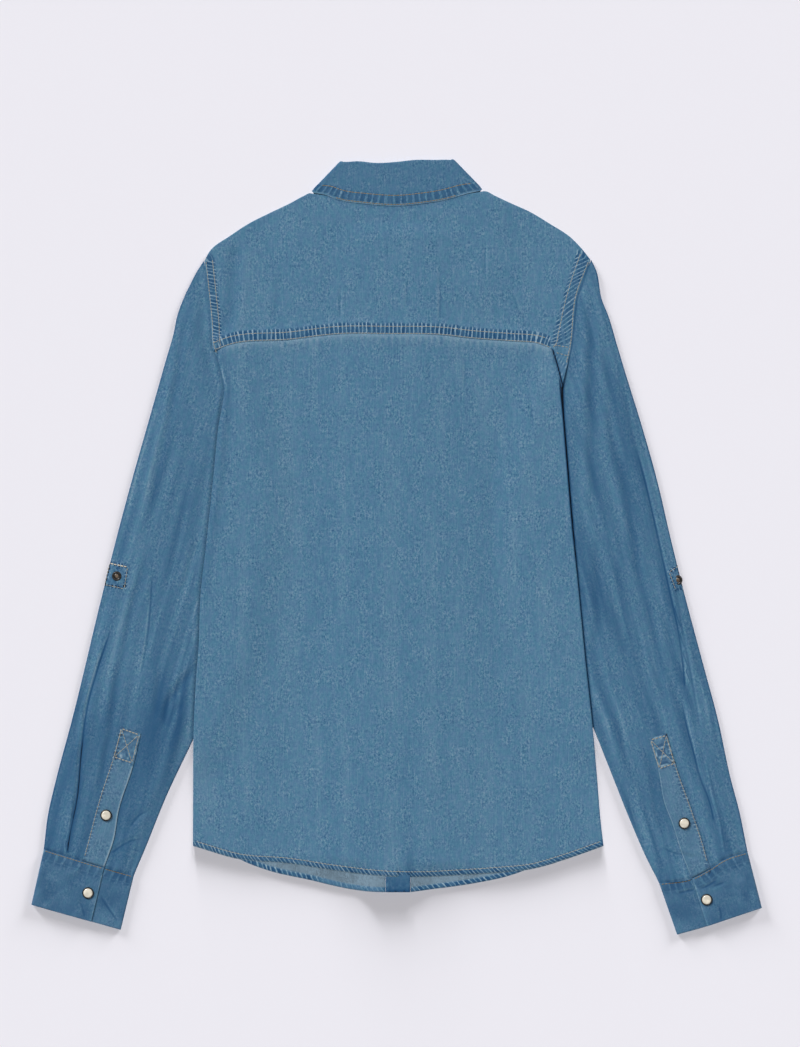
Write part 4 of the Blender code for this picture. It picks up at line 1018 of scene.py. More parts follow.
def panel(name, columns, rows, plan, top, bottom, grain=0.0, seams=(), under_seams=(), creases=()):
    """A panel that lies flat. top and bottom give height, wear and reverse from x and y."""

    def face(surface, inward, puckered, folded):
        def shape(u, v):
            places = plan(u, v)
            x, y = places.T
            height, wear, reverse = surface(x, y)
            height = height + inward * np.where(at_edge(u, v), PANEL_LIP, 0.0)
            looks = *seam_map(x, y, puckered), *crease_lines(x, y, folded, 240)
            return np.column_stack([places, height]), wear, reverse, *looks

        return shape

    return shell(name, columns, rows, face(top, -1, seams, creases), face(bottom, 1, under_seams, ()), grain)


def stitch_mesh(work, place, heading, normal, sizes):
    """One stitch: a slim bead of thread, half sunk in the cloth."""
    side = normal.cross(heading).normalized()
    up = heading.cross(side).normalized()
    axes = Matrix((heading, side, up)).transposed().to_4x4()
    scale = Matrix.Diagonal((sizes.stitch_length / 2, sizes.thread_width / 2, sizes.thread_width / 3, 1))
    matrix = Matrix.Translation(place) @ axes @ scale
    bmesh.ops.create_uvsphere(work, u_segments=6, v_segments=4, radius=1, matrix=matrix)


def sew(name, paths, thread="thread"):
    """Rows of stitches, each along its own path of places, with the cloth's normal there."""
    sizes = bpy.context.scene.shirt_stitches
    work, few = bmesh.new(), bmesh.new()
    for places, normal in paths:
        places = np.asarray(places, float) * MM
        steps = np.linalg.norm(np.diff(places, axis=0), axis=1)
        far = np.concatenate([[0], np.cumsum(steps)])
        count = max(int(far[-1] / sizes.stitch_pitch), 1)
        spots = (np.arange(count) + 0.5) * far[-1] / count
        half = sizes.stitch_length / 2
        at = np.column_stack([np.interp(spots, far, places[:, i]) for i in range(3)])
        ahead = np.column_stack([np.interp(spots + half, far, places[:, i]) for i in range(3)])
        behind = np.column_stack([np.interp(spots - half, far, places[:, i]) for i in range(3)])
        for number, (place, heading) in enumerate(zip(at, ahead - behind)):
            stitch_mesh(few, Vector(place), Vector(heading).normalized(), Vector(normal), sizes)
            if number % STITCH_BATCH == STITCH_BATCH - 1 or number == count - 1:
                poured = bpy.data.meshes.new("stitches")
                few.to_mesh(poured)
                few.clear()
                work.from_mesh(poured)
                bpy.data.meshes.remove(poured)
    few.free()
    piece = finish(name, work, bpy.data.materials[thread])
    return piece


def beside(line, distance, start=0.0, end=1.0, steps=160):
    """Places at a distance to the left of a smooth line."""
    t = np.linspace(start, end, steps)
    points = spline(line, t)
    heading = spline(line, np.minimum(t + 0.004, 1)) - spline(line, np.maximum(t - 0.004, 0))
    heading /= np.linalg.norm(heading, axis=1)[:, None]
    return points + distance * np.column_stack([-heading[:, 1], heading[:, 0]])


def lay_on(points, top, lift=0.05):
    """Places of a row of stitches that lies on a surface."""
    points = np.asarray(points, float)
    return np.column_stack([points, top(points[:, 0], points[:, 1])[0] + lift]), (0, 0, 1)


def straight(corners, steps=24):
    """Places along straight runs through corners, as one list for each run."""
    corners = np.asarray(corners, float)
    share = np.linspace(0.04, 0.96, steps)[:, None]
    return [a * (1 - share) + b * share for a, b in zip(corners, corners[1:])]


def gathered(lines_groups):
    """One row of smooth lines through groups of stations, with the spacing of each group."""
    dense = []
    for stations, count in lines_groups:
        lines = spline(np.array(stations, float), np.linspace(0, 1, count))
        dense.extend(lines if not dense else lines[1:])
    return np.array(dense)


def round_the_neck(left, turn_left, middle, turn_right, right, counts):
    """The lines of a band from one front end, over its two side folds, to the other."""
    parts = (
        left + turn_left[:1],
        turn_left,
        turn_left[-1:] + middle + turn_right[:1],
        turn_right,
        turn_right[-1:] + right,
    )
    return gathered(zip(parts, counts))


def band_shell(name, lines, rows, relief, shade):
    """A doubled band through lines, each x, y, z of its fold and x, y, z of its free edge."""
    steps = np.linalg.norm(np.diff(lines[:, 3:], axis=0), axis=1)
    travelled = np.concatenate([[0], np.cumsum(steps)])
    slopes = np.gradient(lines, np.arange(len(lines)), axis=0)
    last = len(lines) - 1

    def face(side):
        def shape(u, v):
            index = np.round(u * last).astype(int)
            line, turn = lines[index], slopes[index]
            share = v[:, None]
            middle = line[:, :3] * (1 - share) + line[:, 3:] * share
            forward = turn[:, :3] * (1 - share) + turn[:, 3:] * share
            down = line[:, 3:] - line[:, :3]
            normal = np.cross(forward, down)
            normal /= np.linalg.norm(normal, axis=1)[:, None]
            edge = at_edge(u, v)
            from_edge = (1 - v) * np.linalg.norm(down, axis=1)
            raised, wear, *seam = relief(travelled[index], from_edge, v, index, side)
            thin = 0.5 + 0.5 * smooth(from_edge / 5)
            half = np.where(edge, BAND_LIP, thin * BAND / 2) + np.where(edge, 0, raised)
            places = middle + normal * (side * half)[:, None]
            places[:, 2] = np.maximum(places[:, 2], 0)
            return places, wear + shade, np.zeros(len(u)), *seam

        return shape

    def row(start, end, from_edge, over):
        """Places of a row of stitches along the band, on its upper or its lower face."""
        u = np.arange(int(start * last), int(end * last) + 1) / last
        crossed = lines[np.round(u * last).astype(int)]
        v = 1 - from_edge / np.linalg.norm(crossed[:, 3:] - crossed[:, :3], axis=1)
        one, other = face(1)(u, v)[0], face(-1)(u, v)[0]
        upper = (one[:, 2] > other[:, 2]) == over
        places = np.where(upper[:, None], one, other)
        places[:, 2] = np.maximum(places[:, 2] + (0.1 if over else -0.1), 0.31)
        return places, (0, 0, 1)

    columns = np.arange(len(lines)) / last
    return shell(name, columns, rows, face(1), face(-1)), row


def one_layer(surface):
    """Top and underside of a single layer of cloth, from the function of its height and wear."""

    def top(x, y):
        return *surface(x, y), np.zeros(x.shape)

    def bottom(x, y):
        return surface(x, y)[0] - thickness(), np.zeros(x.shape), np.ones(x.shape)

    return top, bottom


def make_back():
    """The back, from the hem to the seam under the yoke."""
    plan = within(
        [(BACK_HEM, 1)],
        [(BACK_TOP, 1)],
        [(SIDE_LEFT, 0.972), ([SIDE_LEFT[-1], (-184, 197), BACK_TOP[0]], 1)],
        [(SIDE_RIGHT, 0.912), (BACK_TOP_RIGHT, 1)],
    )
    columns, rows = grids("back")
    seams = [Puckered(BACK_HEM, 1, BACK_HEM_SEAM, 20, everywhere)]
    piece = panel("back_cloth", columns, rows, plan, *one_layer(back_top), seams=seams, creases=BACK_CREASES)
    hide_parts("back")


def make_yoke():
    """The yoke, which laps over the back and ends at the neck and the shoulders."""
    foot = [(x, y + YOKE_LAP_EDGE) for x, y in YOKE_EDGE]
    plan = within(
        [(foot, 0.9), ([foot[-1]] + YOKE_TAIL[1:], 1)],
        [(SHOULDER_LEFT, 0.28), (NECK_BACK, 0.72), (SHOULDER_RIGHT, 1)],
        [([foot[0]] + ARMHOLE_LEFT[1:], 1)],
        [([YOKE_TAIL[-1]] + ARMHOLE_RIGHT[1:], 1)],
    )

    def broken(x, y):
        return beside_right(x, y) * (0.75 + 0.5 * noise(x / 1.6 + y / 11, 94))

    columns, rows = grids("yoke")
    seams = [
        Puckered(YOKE_EDGE, 1, YOKE_SEAM, 70, lambda x, y: window(x, *YOKE_SEAM_ENDS, 3)),
        Puckered(ARMHOLE_LEFT, -1, ARMHOLE_SEAM, 80, beside_left),
        Puckered(ARMHOLE_RIGHT, 1, ARMHOLE_SEAM_RIGHT, 90, broken, ARMHOLE_INNER_RIGHT),
    ]
    piece = panel("yoke_cloth", columns, rows, plan, *one_layer(yoke_top), seams=seams, creases=YOKE_CREASES)
    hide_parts("yoke")


def make_fronts():
    """The two fronts, which lie face down below the back."""
    left_side = [(x + FRONT_INSET, y) for x, y in SIDE_LEFT]
    left_arm = [left_side[-1]] + [(x + 1.5 * FRONT_INSET, y - FRONT_INSET) for x, y in ARMHOLE_LEFT[1:]]
    left_top = [left_arm[-1]] + [(x, y - FRONT_INSET) for x, y in SHOULDER_LEFT[1:-1]] + [NECK_FRONT_LEFT[0]]
    right_side = [(x - FRONT_INSET, y) for x, y in SIDE_RIGHT[:-1]] + [ARMHOLE_RIGHT[0]]
    right_arm = [ARMHOLE_RIGHT[0]] + [(x - 1.5 * FRONT_INSET, y - FRONT_INSET) for x, y in ARMHOLE_RIGHT[1:]]
    shoulder = [(x, y - FRONT_INSET) for x, y in SHOULDER_RIGHT[1:-1]]
    right_top = [NECK_FRONT_RIGHT[-1]] + shoulder + [right_arm[-1]]
    left_plan = within(
        [([left_side[0]] + FRONT_HEM_LEFT[1:], 1)],
        [(left_top, 0.52), (NECK_FRONT_LEFT, 1)],
        [(left_side, 0.83), (left_arm, 1)],
        [([FRONT_HEM_LEFT[-1], NECK_FRONT_LEFT[-1]], 1)],
    )
    right_plan = within(
        [(FRONT_HEM_RIGHT[:-1] + [right_side[0]], 1)],
        [(NECK_FRONT_RIGHT, 0.48), (right_top, 1)],
        [([FRONT_HEM_RIGHT[0], NECK_FRONT_RIGHT[0]], 1)],
        [(right_side, 0.79), (right_arm, 1)],
    )
    columns, rows = grids("front")

    def faded(x, y):
        return 1 - 0.75 * window(x, -80, -12, 18)

    for name, plan in (("left", left_plan), ("right", right_plan)):
        seams = [Puckered(FRONT_HEM_LEFT + FRONT_HEM_RIGHT, 1, FRONT_HEM_SEAM, 110, faded)]
        label = "front_cloth_" + name
        piece = panel(label, columns, rows, plan, front_face, front_underside, 0.0, seams, seams)
        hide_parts("front_" + name)


def make_bands():
    """The two front bands, one over the other down the middle."""
    for name, node, height in (
        ("front_band_top", "placket_top", TOP_BAND_LIFT),
        ("front_band_under", "placket_under", UNDER_BAND_LIFT),
    ):

        def plan(u, v):
            x = BAND_HALF * (2 * u - 1)
            return np.column_stack([x, HEM_Y + v * (NECK_Y - HEM_Y)])

        def top(x, y, height=height):
            wave = ripple(y, 7.0, 160) * np.exp(-((BAND_HALF - np.abs(x)) / 3))
            end = ripple(x, 5.0, 161) * np.exp(-((y - HEM_Y) / 5))
            low = 1 - smooth((y - HEM_Y) / 40)
            wear = 0.3 * wave + 0.3 * end - 0.1 - 0.8 * low
            wear = wear - 0.8 * peak(y - HEM_Y - 1, 1.3)
            wear += 0.5 * low * noise(x / 2.2, 163) * noise(y / 2.6, 164)
            return height + CLOTH + 0.15 * wave + 0.2 * end, wear, np.zeros(x.shape)

        def bottom(x, y, height=height):
            wave = ripple(y, 7.0, 162) * np.exp(-((BAND_HALF - np.abs(x)) / 3))
            return height - 0.12 * wave, 0.3 * wave, np.zeros(x.shape)

        columns, rows = grids("band")
        piece = panel(name, columns, rows, plan, top, bottom)
        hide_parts(node)


def squared(lines):
    """Fold lines whose upper ends reach the band's top edge all the way round."""
    lines = np.array(lines)
    lowest = np.abs(lines[:, 2] - FOLD_HEIGHT) / FALL_FOLD_RADIUS
    along_fold = lines[:, :2] - lines[:, 3:5]
    along_fold /= np.linalg.norm(along_fold, axis=1)[:, None]
    lines[:, :2] += along_fold * (FOLD_EXTRA * lowest)[:, None]
    return [list(line) for line in lines]


def make_collar():
    """The collar's fall and its stand, both folded round the neck."""
    leaf, back = BAND / 2, FOLD_HEIGHT + FALL_FOLD_RADIUS
    left = [[s.x_in, s.y_in, leaf, s.x_out, s.y_out, leaf] for s in FALL_LEFT]
    resting = [float(yoke_top(np.array([s.x_out]), np.array([s.y_out]))[0][0]) + EDGE_REST for s in FALL_BACK]
    middle = [[s.x_in, s.y_in, back, s.x_out, s.y_out, rest] for s, rest in zip(FALL_BACK, resting)]
    right = [[s.x_in, s.y_in, leaf, s.x_out, s.y_out, leaf] for s in FALL_RIGHT]
    turn_left = squared(fold_stations(FALL_FOLD_LEFT, FALL_FOLD_RADIUS, 0, True))
    turn_right = squared(fold_stations(FALL_FOLD_RIGHT, FALL_FOLD_RADIUS, 0, False))
    for turn, rest in ((turn_left, resting[0]), (turn_right, resting[-1])):
        for line in turn:
            line[5] = min(line[5], rest + 0.2)
    lines = round_the_neck(left, turn_left, middle, turn_right, right, FALL_LINES)
    numbers = np.arange(len(lines))
    turns = peak(numbers - FALL_TURNS[0], 5) + peak(numbers - FALL_TURNS[1], 5)

    def fall_relief(s, from_edge, v, index, side):
        height = sewn(s, from_edge, FALL_SEAM, 170)[0]
        wear = np.zeros(len(s))
        spread = noise(s / 17, 171) * noise(from_edge / 13, 172)
        # Painted highlight along the collar's edges
        edge_highlight = 0.3 * peak(v, 0.03) + 0.75 * peak(from_edge, 1.1)
        # Painted shade over the collar's side folds
        sunk = 0.5 * turns[index] * (0.7 + 0.3 * noise(from_edge / 4, 174))
        wear += edge_highlight * (0.75 + 0.25 * noise(s / 5, 173)) - sunk
        under = (middle_z[index] - side * facing[index] > 0) & (middle_z[index] < 2)
        groove = ROW_GROOVE * under * peak(from_edge - FALL_SEAM.far, 0.9)
        return height + 0.12 * spread - groove, wear, *seam_look(s, from_edge, FALL_SEAM, 170)

    middle_z = lines[:, 5]
    facing = np.sign(np.gradient(lines[:, 3]))
    piece, row = band_shell("collar_fall_cloth", lines, grids("fall")[0], fall_relief, -0.28)
    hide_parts("collar_fall")
    runs = ((0.24, 0.76, True), (0.01, 0.185, False), (0.815, 0.99, False))
    golden = [row(start, end, FALL_SEAM.far, over) for start, end, over in runs]
    sew("collar_stitches", golden, "thread_gold")
    sew("collar_edge_stitches", [row(0.3, 0.7, 1.3, True)], "thread_gold")

    def rising(rows):
        half = BAND / 2
        return [[r.x_top, r.y_top, r.z + half, r.x_low, r.y_low, r.z + half] for r in rows]

    turn_left = fold_stations(FALL_FOLD_LEFT, STAND_FOLD_RADIUS, STAND_SHORT, True)
    turn_right = fold_stations(FALL_FOLD_RIGHT, STAND_FOLD_RADIUS, STAND_SHORT, False)
    left, middle, right = rising(STAND_LEFT), rising(STAND_BACK), rising(STAND_RIGHT)
    lines = round_the_neck(left, turn_left, middle, turn_right, right, STAND_LINES)

    def stand_relief(s, from_edge, v, index, side):
        wave = ripple(s, 6.5, 180) * (np.exp(-from_edge / 2.5) + np.exp(-(v / 0.12)))
        return 0.1 * wave, 0.3 * wave

    piece, _ = band_shell("collar_stand_cloth", lines, grids("stand")[0], stand_relief, -0.1)
    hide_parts("collar_stand")


TUCK = (2.4, 1.1)  # how far the sleeve's cloth goes in under the yoke and under the cuff
TUCK_RUN = 9.0  # over what length of the sleeve
TUCKED_LENGTH = 560.0  # the sleeve's length, by which both are scaled


def make_sleeve(sleeve):
    """A tube of cloth pressed flat: upper wall, fold, lower wall, fold."""
    fold = EDGE_FOLD / 2
    outer_edge, inner_edge = curve((sleeve.outer, 1)), curve((sleeve.inner, 1))
    armhole, seam = curve((sleeve.armhole, 1)), curve((sleeve.seam, 1))
    box = TAB_BOX[sleeve.name]

    def near_box(x, y):
        return smooth(3.2 - reach_from(x, y, box))

    box_seams = [
        Puckered([a, b], 1, TAB_SEAM, 220 + number, near_box)
        for number, (a, b) in enumerate(zip(box, box[1:] + box[:1]))
    ]
    across_top, across_low = grids("sleeve_walls")
    ring = [(w, 0.0, 1.0) for w in across_top]
    ring += [(1.0, math.sin(turn), math.cos(turn)) for turn in PRESSED_TURNS]
    ring += [(w, 0.0, -1.0) for w in across_low[::-1]]
    ring += [(0.0, math.sin(turn), -math.cos(turn)) for turn in PRESSED_TURNS]
    ring.append(ring[0])
    ring = np.array(ring)
    wall = thickness()

    def face(depth):
        """A face of the wall, depth inside the outer one."""

        def shape(u, v):
            place, bulge, upward = ring[np.round(u).astype(int)].T
            left, right = outer_edge(v), inner_edge(v)
            width = np.linalg.norm(right - left, axis=1)
            inset = fold + place * (width - 2 * fold)
            inset = inset + np.where(place < 0.5, -1, 1) * bulge * (fold - depth)
            xy = patch(inset / width, v, armhole, seam, outer_edge, inner_edge)
            run = TUCKED_LENGTH / TUCK_RUN
            inward = TUCK[0] * (1 - smooth(v * run)) * smooth(place / 0.12)
            onward = TUCK[1] * (1 - smooth((1 - v) * run))
            xy[:, 0] += sleeve.sign * (onward * math.sin(SLEEVE_TURN) - 0.98 * inward)
            xy[:, 1] += 0.17 * inward - onward * math.cos(SLEEVE_TURN)
            x, y = xy[:, 0], xy[:, 1]
            top, wear = sleeve_face(sleeve, x, y)
            low = np.maximum(0.4 * (top - EDGE_FOLD) * noise(x / 31 + y / 140, 190), 0)
            low = low * smooth(place / 0.08) * smooth((1 - place) / 0.08)
            z = fold + upward * (fold - depth)
            z = np.where((bulge == 0) & (upward > 0), top - depth, z)
            z = np.where((bulge == 0) & (upward < 0), depth + low, z)
            wear = np.where(upward > 0, wear, -0.3 + 0.3 * low)
            puckers = seam_map(x, y, box_seams if depth == 0 else ())
            from_line, sharp = crease_lines(x, y, SLEEVE_CREASES[sleeve.name], 195)
            sharp = np.where(upward > 0, sharp, 0)
            places = np.column_stack([x, y, z])
            reverse = np.full(x.shape, float(depth > 0))
            return places, wear - SLEEVE_SHADE[sleeve.name], reverse, *puckers, from_line, sharp

        return shape

    columns = np.arange(len(ring), dtype=float)
    columns[-1] = 0
    rows = grids("sleeve_length")[0]
    grain = -sleeve.sign * SLEEVE_TURN
    name = "sleeve_cloth_" + sleeve.name
    piece = shell(name, columns, rows, face(0.0), face(wall), grain, tube=True)
    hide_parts("sleeve_" + sleeve.name)


def strip_edges(sleeve):
    """The strip's sewn edge, towards the outside, and its folded edge."""
    edges = (sleeve.strip_left, sleeve.strip_right)
    return edges if sleeve is LEFT else edges[::-1]


def strip_top(sleeve, x, y):
    """Top of the strip that finishes a sleeve's opening: one edge sewn, the other folded."""
    base = sleeve_face(sleeve, x, y)[0] + CLOTH
    sewn_edge, folded_edge = strip_edges(sleeve)
    inward = -sleeve.sign
    s, d, _ = along(sewn_edge, x, y)
    height = sewn(s, inward * d, STRIP_SEAM, 200)[0]
    s, d, _ = along(folded_edge, x, y)
    ridge = peak(np.abs(d) - 0.4, 1.1)
    soft = noise(s / 11, 205) * noise(d / 9 + s / 30, 206)
    wear = 0.22 * soft - 0.12
    height += 0.1 * soft
    s, d, _ = along(sleeve.strip_left, x, y)
    box = 1 - smooth((s - STRIP_BOX) / 3)
    blocks = ripple(s + 0.4 * d, 6.5, 203) * np.cos(math.pi * d / 9)
    height += 0.15 * ridge + 0.15 * box * blocks
    crumpled = noise(x / 2.1 + y / 9, 207) * noise(y / 2.3 - x / 8, 208)
    wear += 0.95 * ridge * (1 - 0.6 * box) + box * np.clip(0.5 * blocks + 2.6 * crumpled - 0.3, -1.2, 0.9)
    # Painted shadow beside the right strip's folded edge
    wear -= 0.7 * (1 - box) * peak(d + inward, 0.9) * (sleeve is RIGHT)
    return base + height, wear - 0.1


def drawn_out(sleeve, edge):
    """The strip's edge, drawn out until it reaches the cuff."""
    place, ahead = np.array(edge[-1], float), np.subtract(edge[-1], edge[-2])
    step = 0.3 * ahead / np.linalg.norm(ahead)
    for _ in range(40):
        if along(sleeve.seam, *place[:, None])[1][0] * sleeve.sign > -0.5:
            break
        place += step
    return list(edge[:-1]) + [tuple(place)]


def make_sleeve_strip(sleeve):
    """The placket strip near the sleeve's end, with its box of stitches."""
    left, right = drawn_out(sleeve, sleeve.strip_left), drawn_out(sleeve, sleeve.strip_right)
    plan = within([([left[0], right[0]], 1)], [([left[-1], right[-1]], 1)], [(left, 1)], [(right, 1)])

    def top(x, y):
        height, wear = strip_top(sleeve, x, y)
        return height, wear, np.full(x.shape, 0.15)

    def bottom(x, y):
        return sleeve_face(sleeve, x, y)[0] + 0.1, np.zeros(x.shape), np.zeros(x.shape)

    columns, rows = grids("strip")
    name = "sleeve_strip_" + sleeve.name
    sewn_edge = strip_edges(sleeve)[0]
    inward = -sleeve.sign
    seams = [Puckered(sewn_edge, inward, STRIP_SEAM, 200, everywhere)]
    piece = panel(name, columns, rows, plan, top, bottom, -sleeve.sign * SLEEVE_TURN, seams)
    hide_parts("sleeve_placket_" + sleeve.name)

    on_strip = partial(strip_top, sleeve)
    corners = [sleeve.strip_left[0], sleeve.strip_right[0]]
    for edge in (sleeve.strip_right, sleeve.strip_left):
        foot = STRIP_BOX / STRIP_LENGTH
        corners.append(tuple(beside(edge, 0, foot, foot + 0.01, 2)[0]))
    middle = np.mean(corners, axis=0)
    inset = [tuple(middle + 0.86 * (np.array(corner) - middle)) for corner in corners]
    rows = [lay_on(beside(sewn_edge, inward * 1.2, 0.02, 0.97), on_strip)]
    for shift in ((0, 0), (0.1, 0.5)):
        rows += [lay_on(run + shift, on_strip) for run in straight(inset + inset[:1])]
    rows += [lay_on(run, on_strip) for run in straight([inset[0], inset[2]]) + straight([inset[1], inset[3]])]
    sew("strip_stitches_" + sleeve.name, rows)


def cuff_relief(sleeve, x, y):
    """Height and wear of a cuff's top, from its seam to its lower edge."""
    s, d, _ = along(sleeve.seam, x, y)
    down = d * sleeve.sign
    height = sewn(s, down, CUFF_SEAM, 210 + sleeve.sign)[0]
    wear = 0.3 * noise(s / 7, 215) * noise(down / 5, 216)
    edge = peak(CUFF_DEPTH - down, 1.3)
    soft = noise(s / 15, 213) * noise(down / 17, 214)
    soft = soft + 0.8 * noise(s / 6 + down / 9, 217) * noise(down / 8, 218)
    height += 0.1 * edge + 0.14 * soft
    wear += 0.35 * edge + 0.3 * soft - 0.3 * peak(down, 0.9)
    folds = creased(x, y, CUFF_CREASES[sleeve.name], 235)
    return height + folds[0], wear + folds[1]


def make_cuff(sleeve):
    """A cuff as an open band: its upper end laps over its under end."""
    seam, hem = curve((sleeve.seam, 1)), curve((sleeve.cuff_hem, 1))
    width, half = CUFF_WIDTH, BAND / 2
    low, mid, high = half, CUFF_UNDER + half, CUFF_TOP + half
    tip = sleeve.lap - CUFF_LAP_UNDER
    inner_fold, outer_fold = (mid - low) / 2, (high - low) / 2

    def run(start, end):
        return np.linspace(start, end, max(int(abs(end - start) / CUFF_STEP), 2))

    path = [(d, mid, 0, 1) for d in run(tip, width - inner_fold - half)]
    for turn in PRESSED_TURNS:
        d = width - inner_fold - half + inner_fold * math.sin(turn)
        path.append((d, low + inner_fold * (1 + math.cos(turn)), math.sin(turn), math.cos(turn)))
    path += [(d, low, 0, -1) for d in run(width - inner_fold - half, outer_fold + half)]
    for turn in PRESSED_TURNS:
        d = outer_fold + half - outer_fold * math.sin(turn)
        path.append((d, low + outer_fold * (1 - math.cos(turn)), -math.sin(turn), -math.cos(turn)))
    path += [(d, high, 0, 1) for d in run(outer_fold + half, sleeve.lap)]
    path = np.array(path)

    def face(side):
        def shape(u, v):
            d, z, out, up = path[np.round(u).astype(int)].T
            edge = (v < 1e-9) | (v > 1 - 1e-9) | (u == 0) | (u == len(path) - 1)
            depth = np.where(edge, BAND_LIP, half)
            across = (d + side * out * depth) / width
            share = v[:, None]
            xy = seam(across) * (1 - share) + hem(across) * share
            raised, wear = cuff_relief(sleeve, xy[:, 0], xy[:, 1])
            lap_ridge = peak(sleeve.lap - d - 0.4, 1.2) * (u > len(path) / 2)
            raised = (raised + 0.15 * lap_ridge) * np.clip(side * up, 0, 1) * np.where(edge, 0, 1)
            z = z + side * up * depth + np.where(up > 0, raised, -np.minimum(raised, 0))
            s, down, _ = along(sleeve.seam, *xy.T)
            seam_looks = seam_look(s, down * sleeve.sign, CUFF_SEAM, 210 + sleeve.sign)
            from_line, sharp = crease_lines(*xy.T, CUFF_CREASES[sleeve.name], 245)
            sharp = sharp * (up * side > 0.5) * (z > low)
            greyed = np.full(len(u), CUFF_GREY)
            wear = wear + 0.8 * lap_ridge - CUFF_SHADE
            return np.column_stack([xy, z]), wear, greyed, *seam_looks, from_line, sharp

        return shape

    columns = np.arange(len(path), dtype=float)
    rows = grids("cuff")[0]
    piece = shell("cuff_cloth_" + sleeve.name, columns, rows, face(1), face(-1), -sleeve.sign * SLEEVE_TURN)
    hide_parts("cuff_" + sleeve.name)

    def on_cuff(x, y):
        s, _, _ = along(sleeve.seam, x, y)
        raised, wear = cuff_relief(sleeve, x, y)
        return np.where(s < sleeve.lap, CUFF_TOP, CUFF_UNDER) + BAND + raised, wear

    lap_share = sleeve.lap / CUFF_WIDTH
    first = sleeve.sign * CUFF_SEAM.near
    rows = [
        lay_on(beside(sleeve.seam, first, 0.02, lap_share - 0.02), on_cuff),
        lay_on(beside(sleeve.seam, first, lap_share + 0.02, 0.98), on_cuff),
    ]
    sew("cuff_stitches_" + sleeve.name, rows, "thread_gold")


def thickness():
    """The cloth's thickness in millimetres, from the panel's setting."""
    return bpy.context.scene.shirt_cloth.thickness / MM


def turned(name, profile, place, sides, materials, split=None, tilt=None):
    """A turned piece at its place: (radius, height) points in millimetres, spun round its axis.

    Faces beyond the radius `split` take the second material.
    """
    work = bmesh.new()
    corners = [work.verts.new((radius * MM, 0, height * MM)) for radius, height in profile]
    edges = [work.edges.new(pair) for pair in zip(corners, corners[1:])]
    if profile[0][0] > 0:
        edges.append(work.edges.new((corners[-1], corners[0])))
    full_turn = {"angle": 2 * math.pi, "steps": sides, "use_merge": True}
    bmesh.ops.spin(work, geom=corners + edges, cent=(0, 0, 0), axis=(0, 0, 1), **full_turn)
    bmesh.ops.remove_doubles(work, verts=work.verts[:], dist=1e-6)
    if split is not None:
        for face in work.faces:
            middle = face.calc_center_median()
            face.material_index = int(math.hypot(middle.x, middle.y) > split * MM)
    matrix = Matrix.Translation(Vector(place) * MM) @ (tilt or Matrix())
    bmesh.ops.transform(work, matrix=matrix, verts=work.verts[:])
    piece = finish(name, work, bpy.data.materials[materials[0]])
    for other in materials[1:]:
        piece.data.materials.append(bpy.data.materials[other])
    return piece


def seat_of(node):
    """Middle of a CAD node in plan, and its foot, in millimetres."""
    low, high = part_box(node)
    return (low.x + high.x) / 2 / MM, (low.y + high.y) / 2 / MM, low.z / MM


def make_pearl_snaps():
    """The rim and the pearl cap of each snap on the sleeve strips and the cuffs."""
    rim = [
        (RIM_INNER - 0.25, 0.0), (RIM_RADIUS - 0.3, 0.0), (RIM_RADIUS - 0.05, 0.2), (RIM_RADIUS, 0.55),
        (RIM_RADIUS - 0.12, 0.95), (RIM_RADIUS - 0.4, 1.22), (RIM_RADIUS - 0.75, RIM_HEIGHT),
        (RIM_INNER, 1.2), (RIM_INNER - 0.25, 0.95),
    ]
    dish = [
        (0.0, 0.0), (PEARL_RADIUS * 0.96, 0.0), (PEARL_RADIUS, 0.9), (4.5, 1.35), (4.15, 1.68), (3.7, 1.84),
        (3.1, PEARL_HEIGHT), (2.2, 1.86), (1.1, 1.8), (0.0, 1.77),
    ]
    for sleeve in (LEFT, RIGHT):
        for site in ("placket", "cuff"):
            label = f"snap_{site}_{sleeve.name}"
            place = seat_of(label + "_rim")
            ring = turned(f"{label}_ring", rim, place, 40, ["rim_metal"])
            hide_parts(label + "_rim")
            pearl = turned(f"{label}_cap", dish, place, 40, ["pearl_cap"])
            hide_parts(label + "_pearl")


def make_tab_snaps():
    """The bronze stud of the roll-up tab on each sleeve."""
    profile = [
        (0.0, 0.0), (TAB_RADIUS * 0.94, 0.0), (TAB_RADIUS, 0.25), (4.7, 0.6), (4.4, 0.9), (4.0, 1.08),
        (3.6, 1.1), (3.2, 0.95), (2.95, 0.6), (2.7, 0.55), (2.4, 0.8), (1.8, 1.02), (0.9, 1.14), (0.0, 1.18),
    ]
    for sleeve in (LEFT, RIGHT):
        node = "tab_snap_" + sleeve.name
        lean = 0.0 if sleeve is LEFT else -0.12
        tilt = Matrix.Rotation(lean, 4, "Y")
        piece = turned(
            "tab_stud_" + sleeve.name, profile, seat_of(node), 36, ["tab_bronze", "rim_metal"], 1.5, tilt
        )
        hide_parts(node)


def make_front_snaps():
    """The caps of the front's snaps and of the stand's, face down."""
    cap = [
        (0.0, CAP_HEIGHT), (CAP_RADIUS * 0.94, CAP_HEIGHT), (CAP_RADIUS, 1.1), (5.5, 0.6), (5.1, 0.3),
        (4.6, 0.25), (4.35, 0.45), (4.2, 0.25), (3.6, 0.08), (2.6, 0.0), (1.2, 0.06), (0.0, 0.08),
    ]
    nodes = [f"front_snap_{number + 1}" for number in range(FRONT_SNAPS)] + ["stand_snap"]
    for node in nodes:
        x, y, foot = seat_of(node)
        low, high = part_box(node)
        scale = (high.z - low.z) / MM / CAP_HEIGHT
        profile = [(radius, height * scale) for radius, height in cap]
        piece = turned(node + "_cap", profile, (x, y, foot), 32, ["pearl_cap", "rim_metal"], 4.5)
        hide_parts(node)


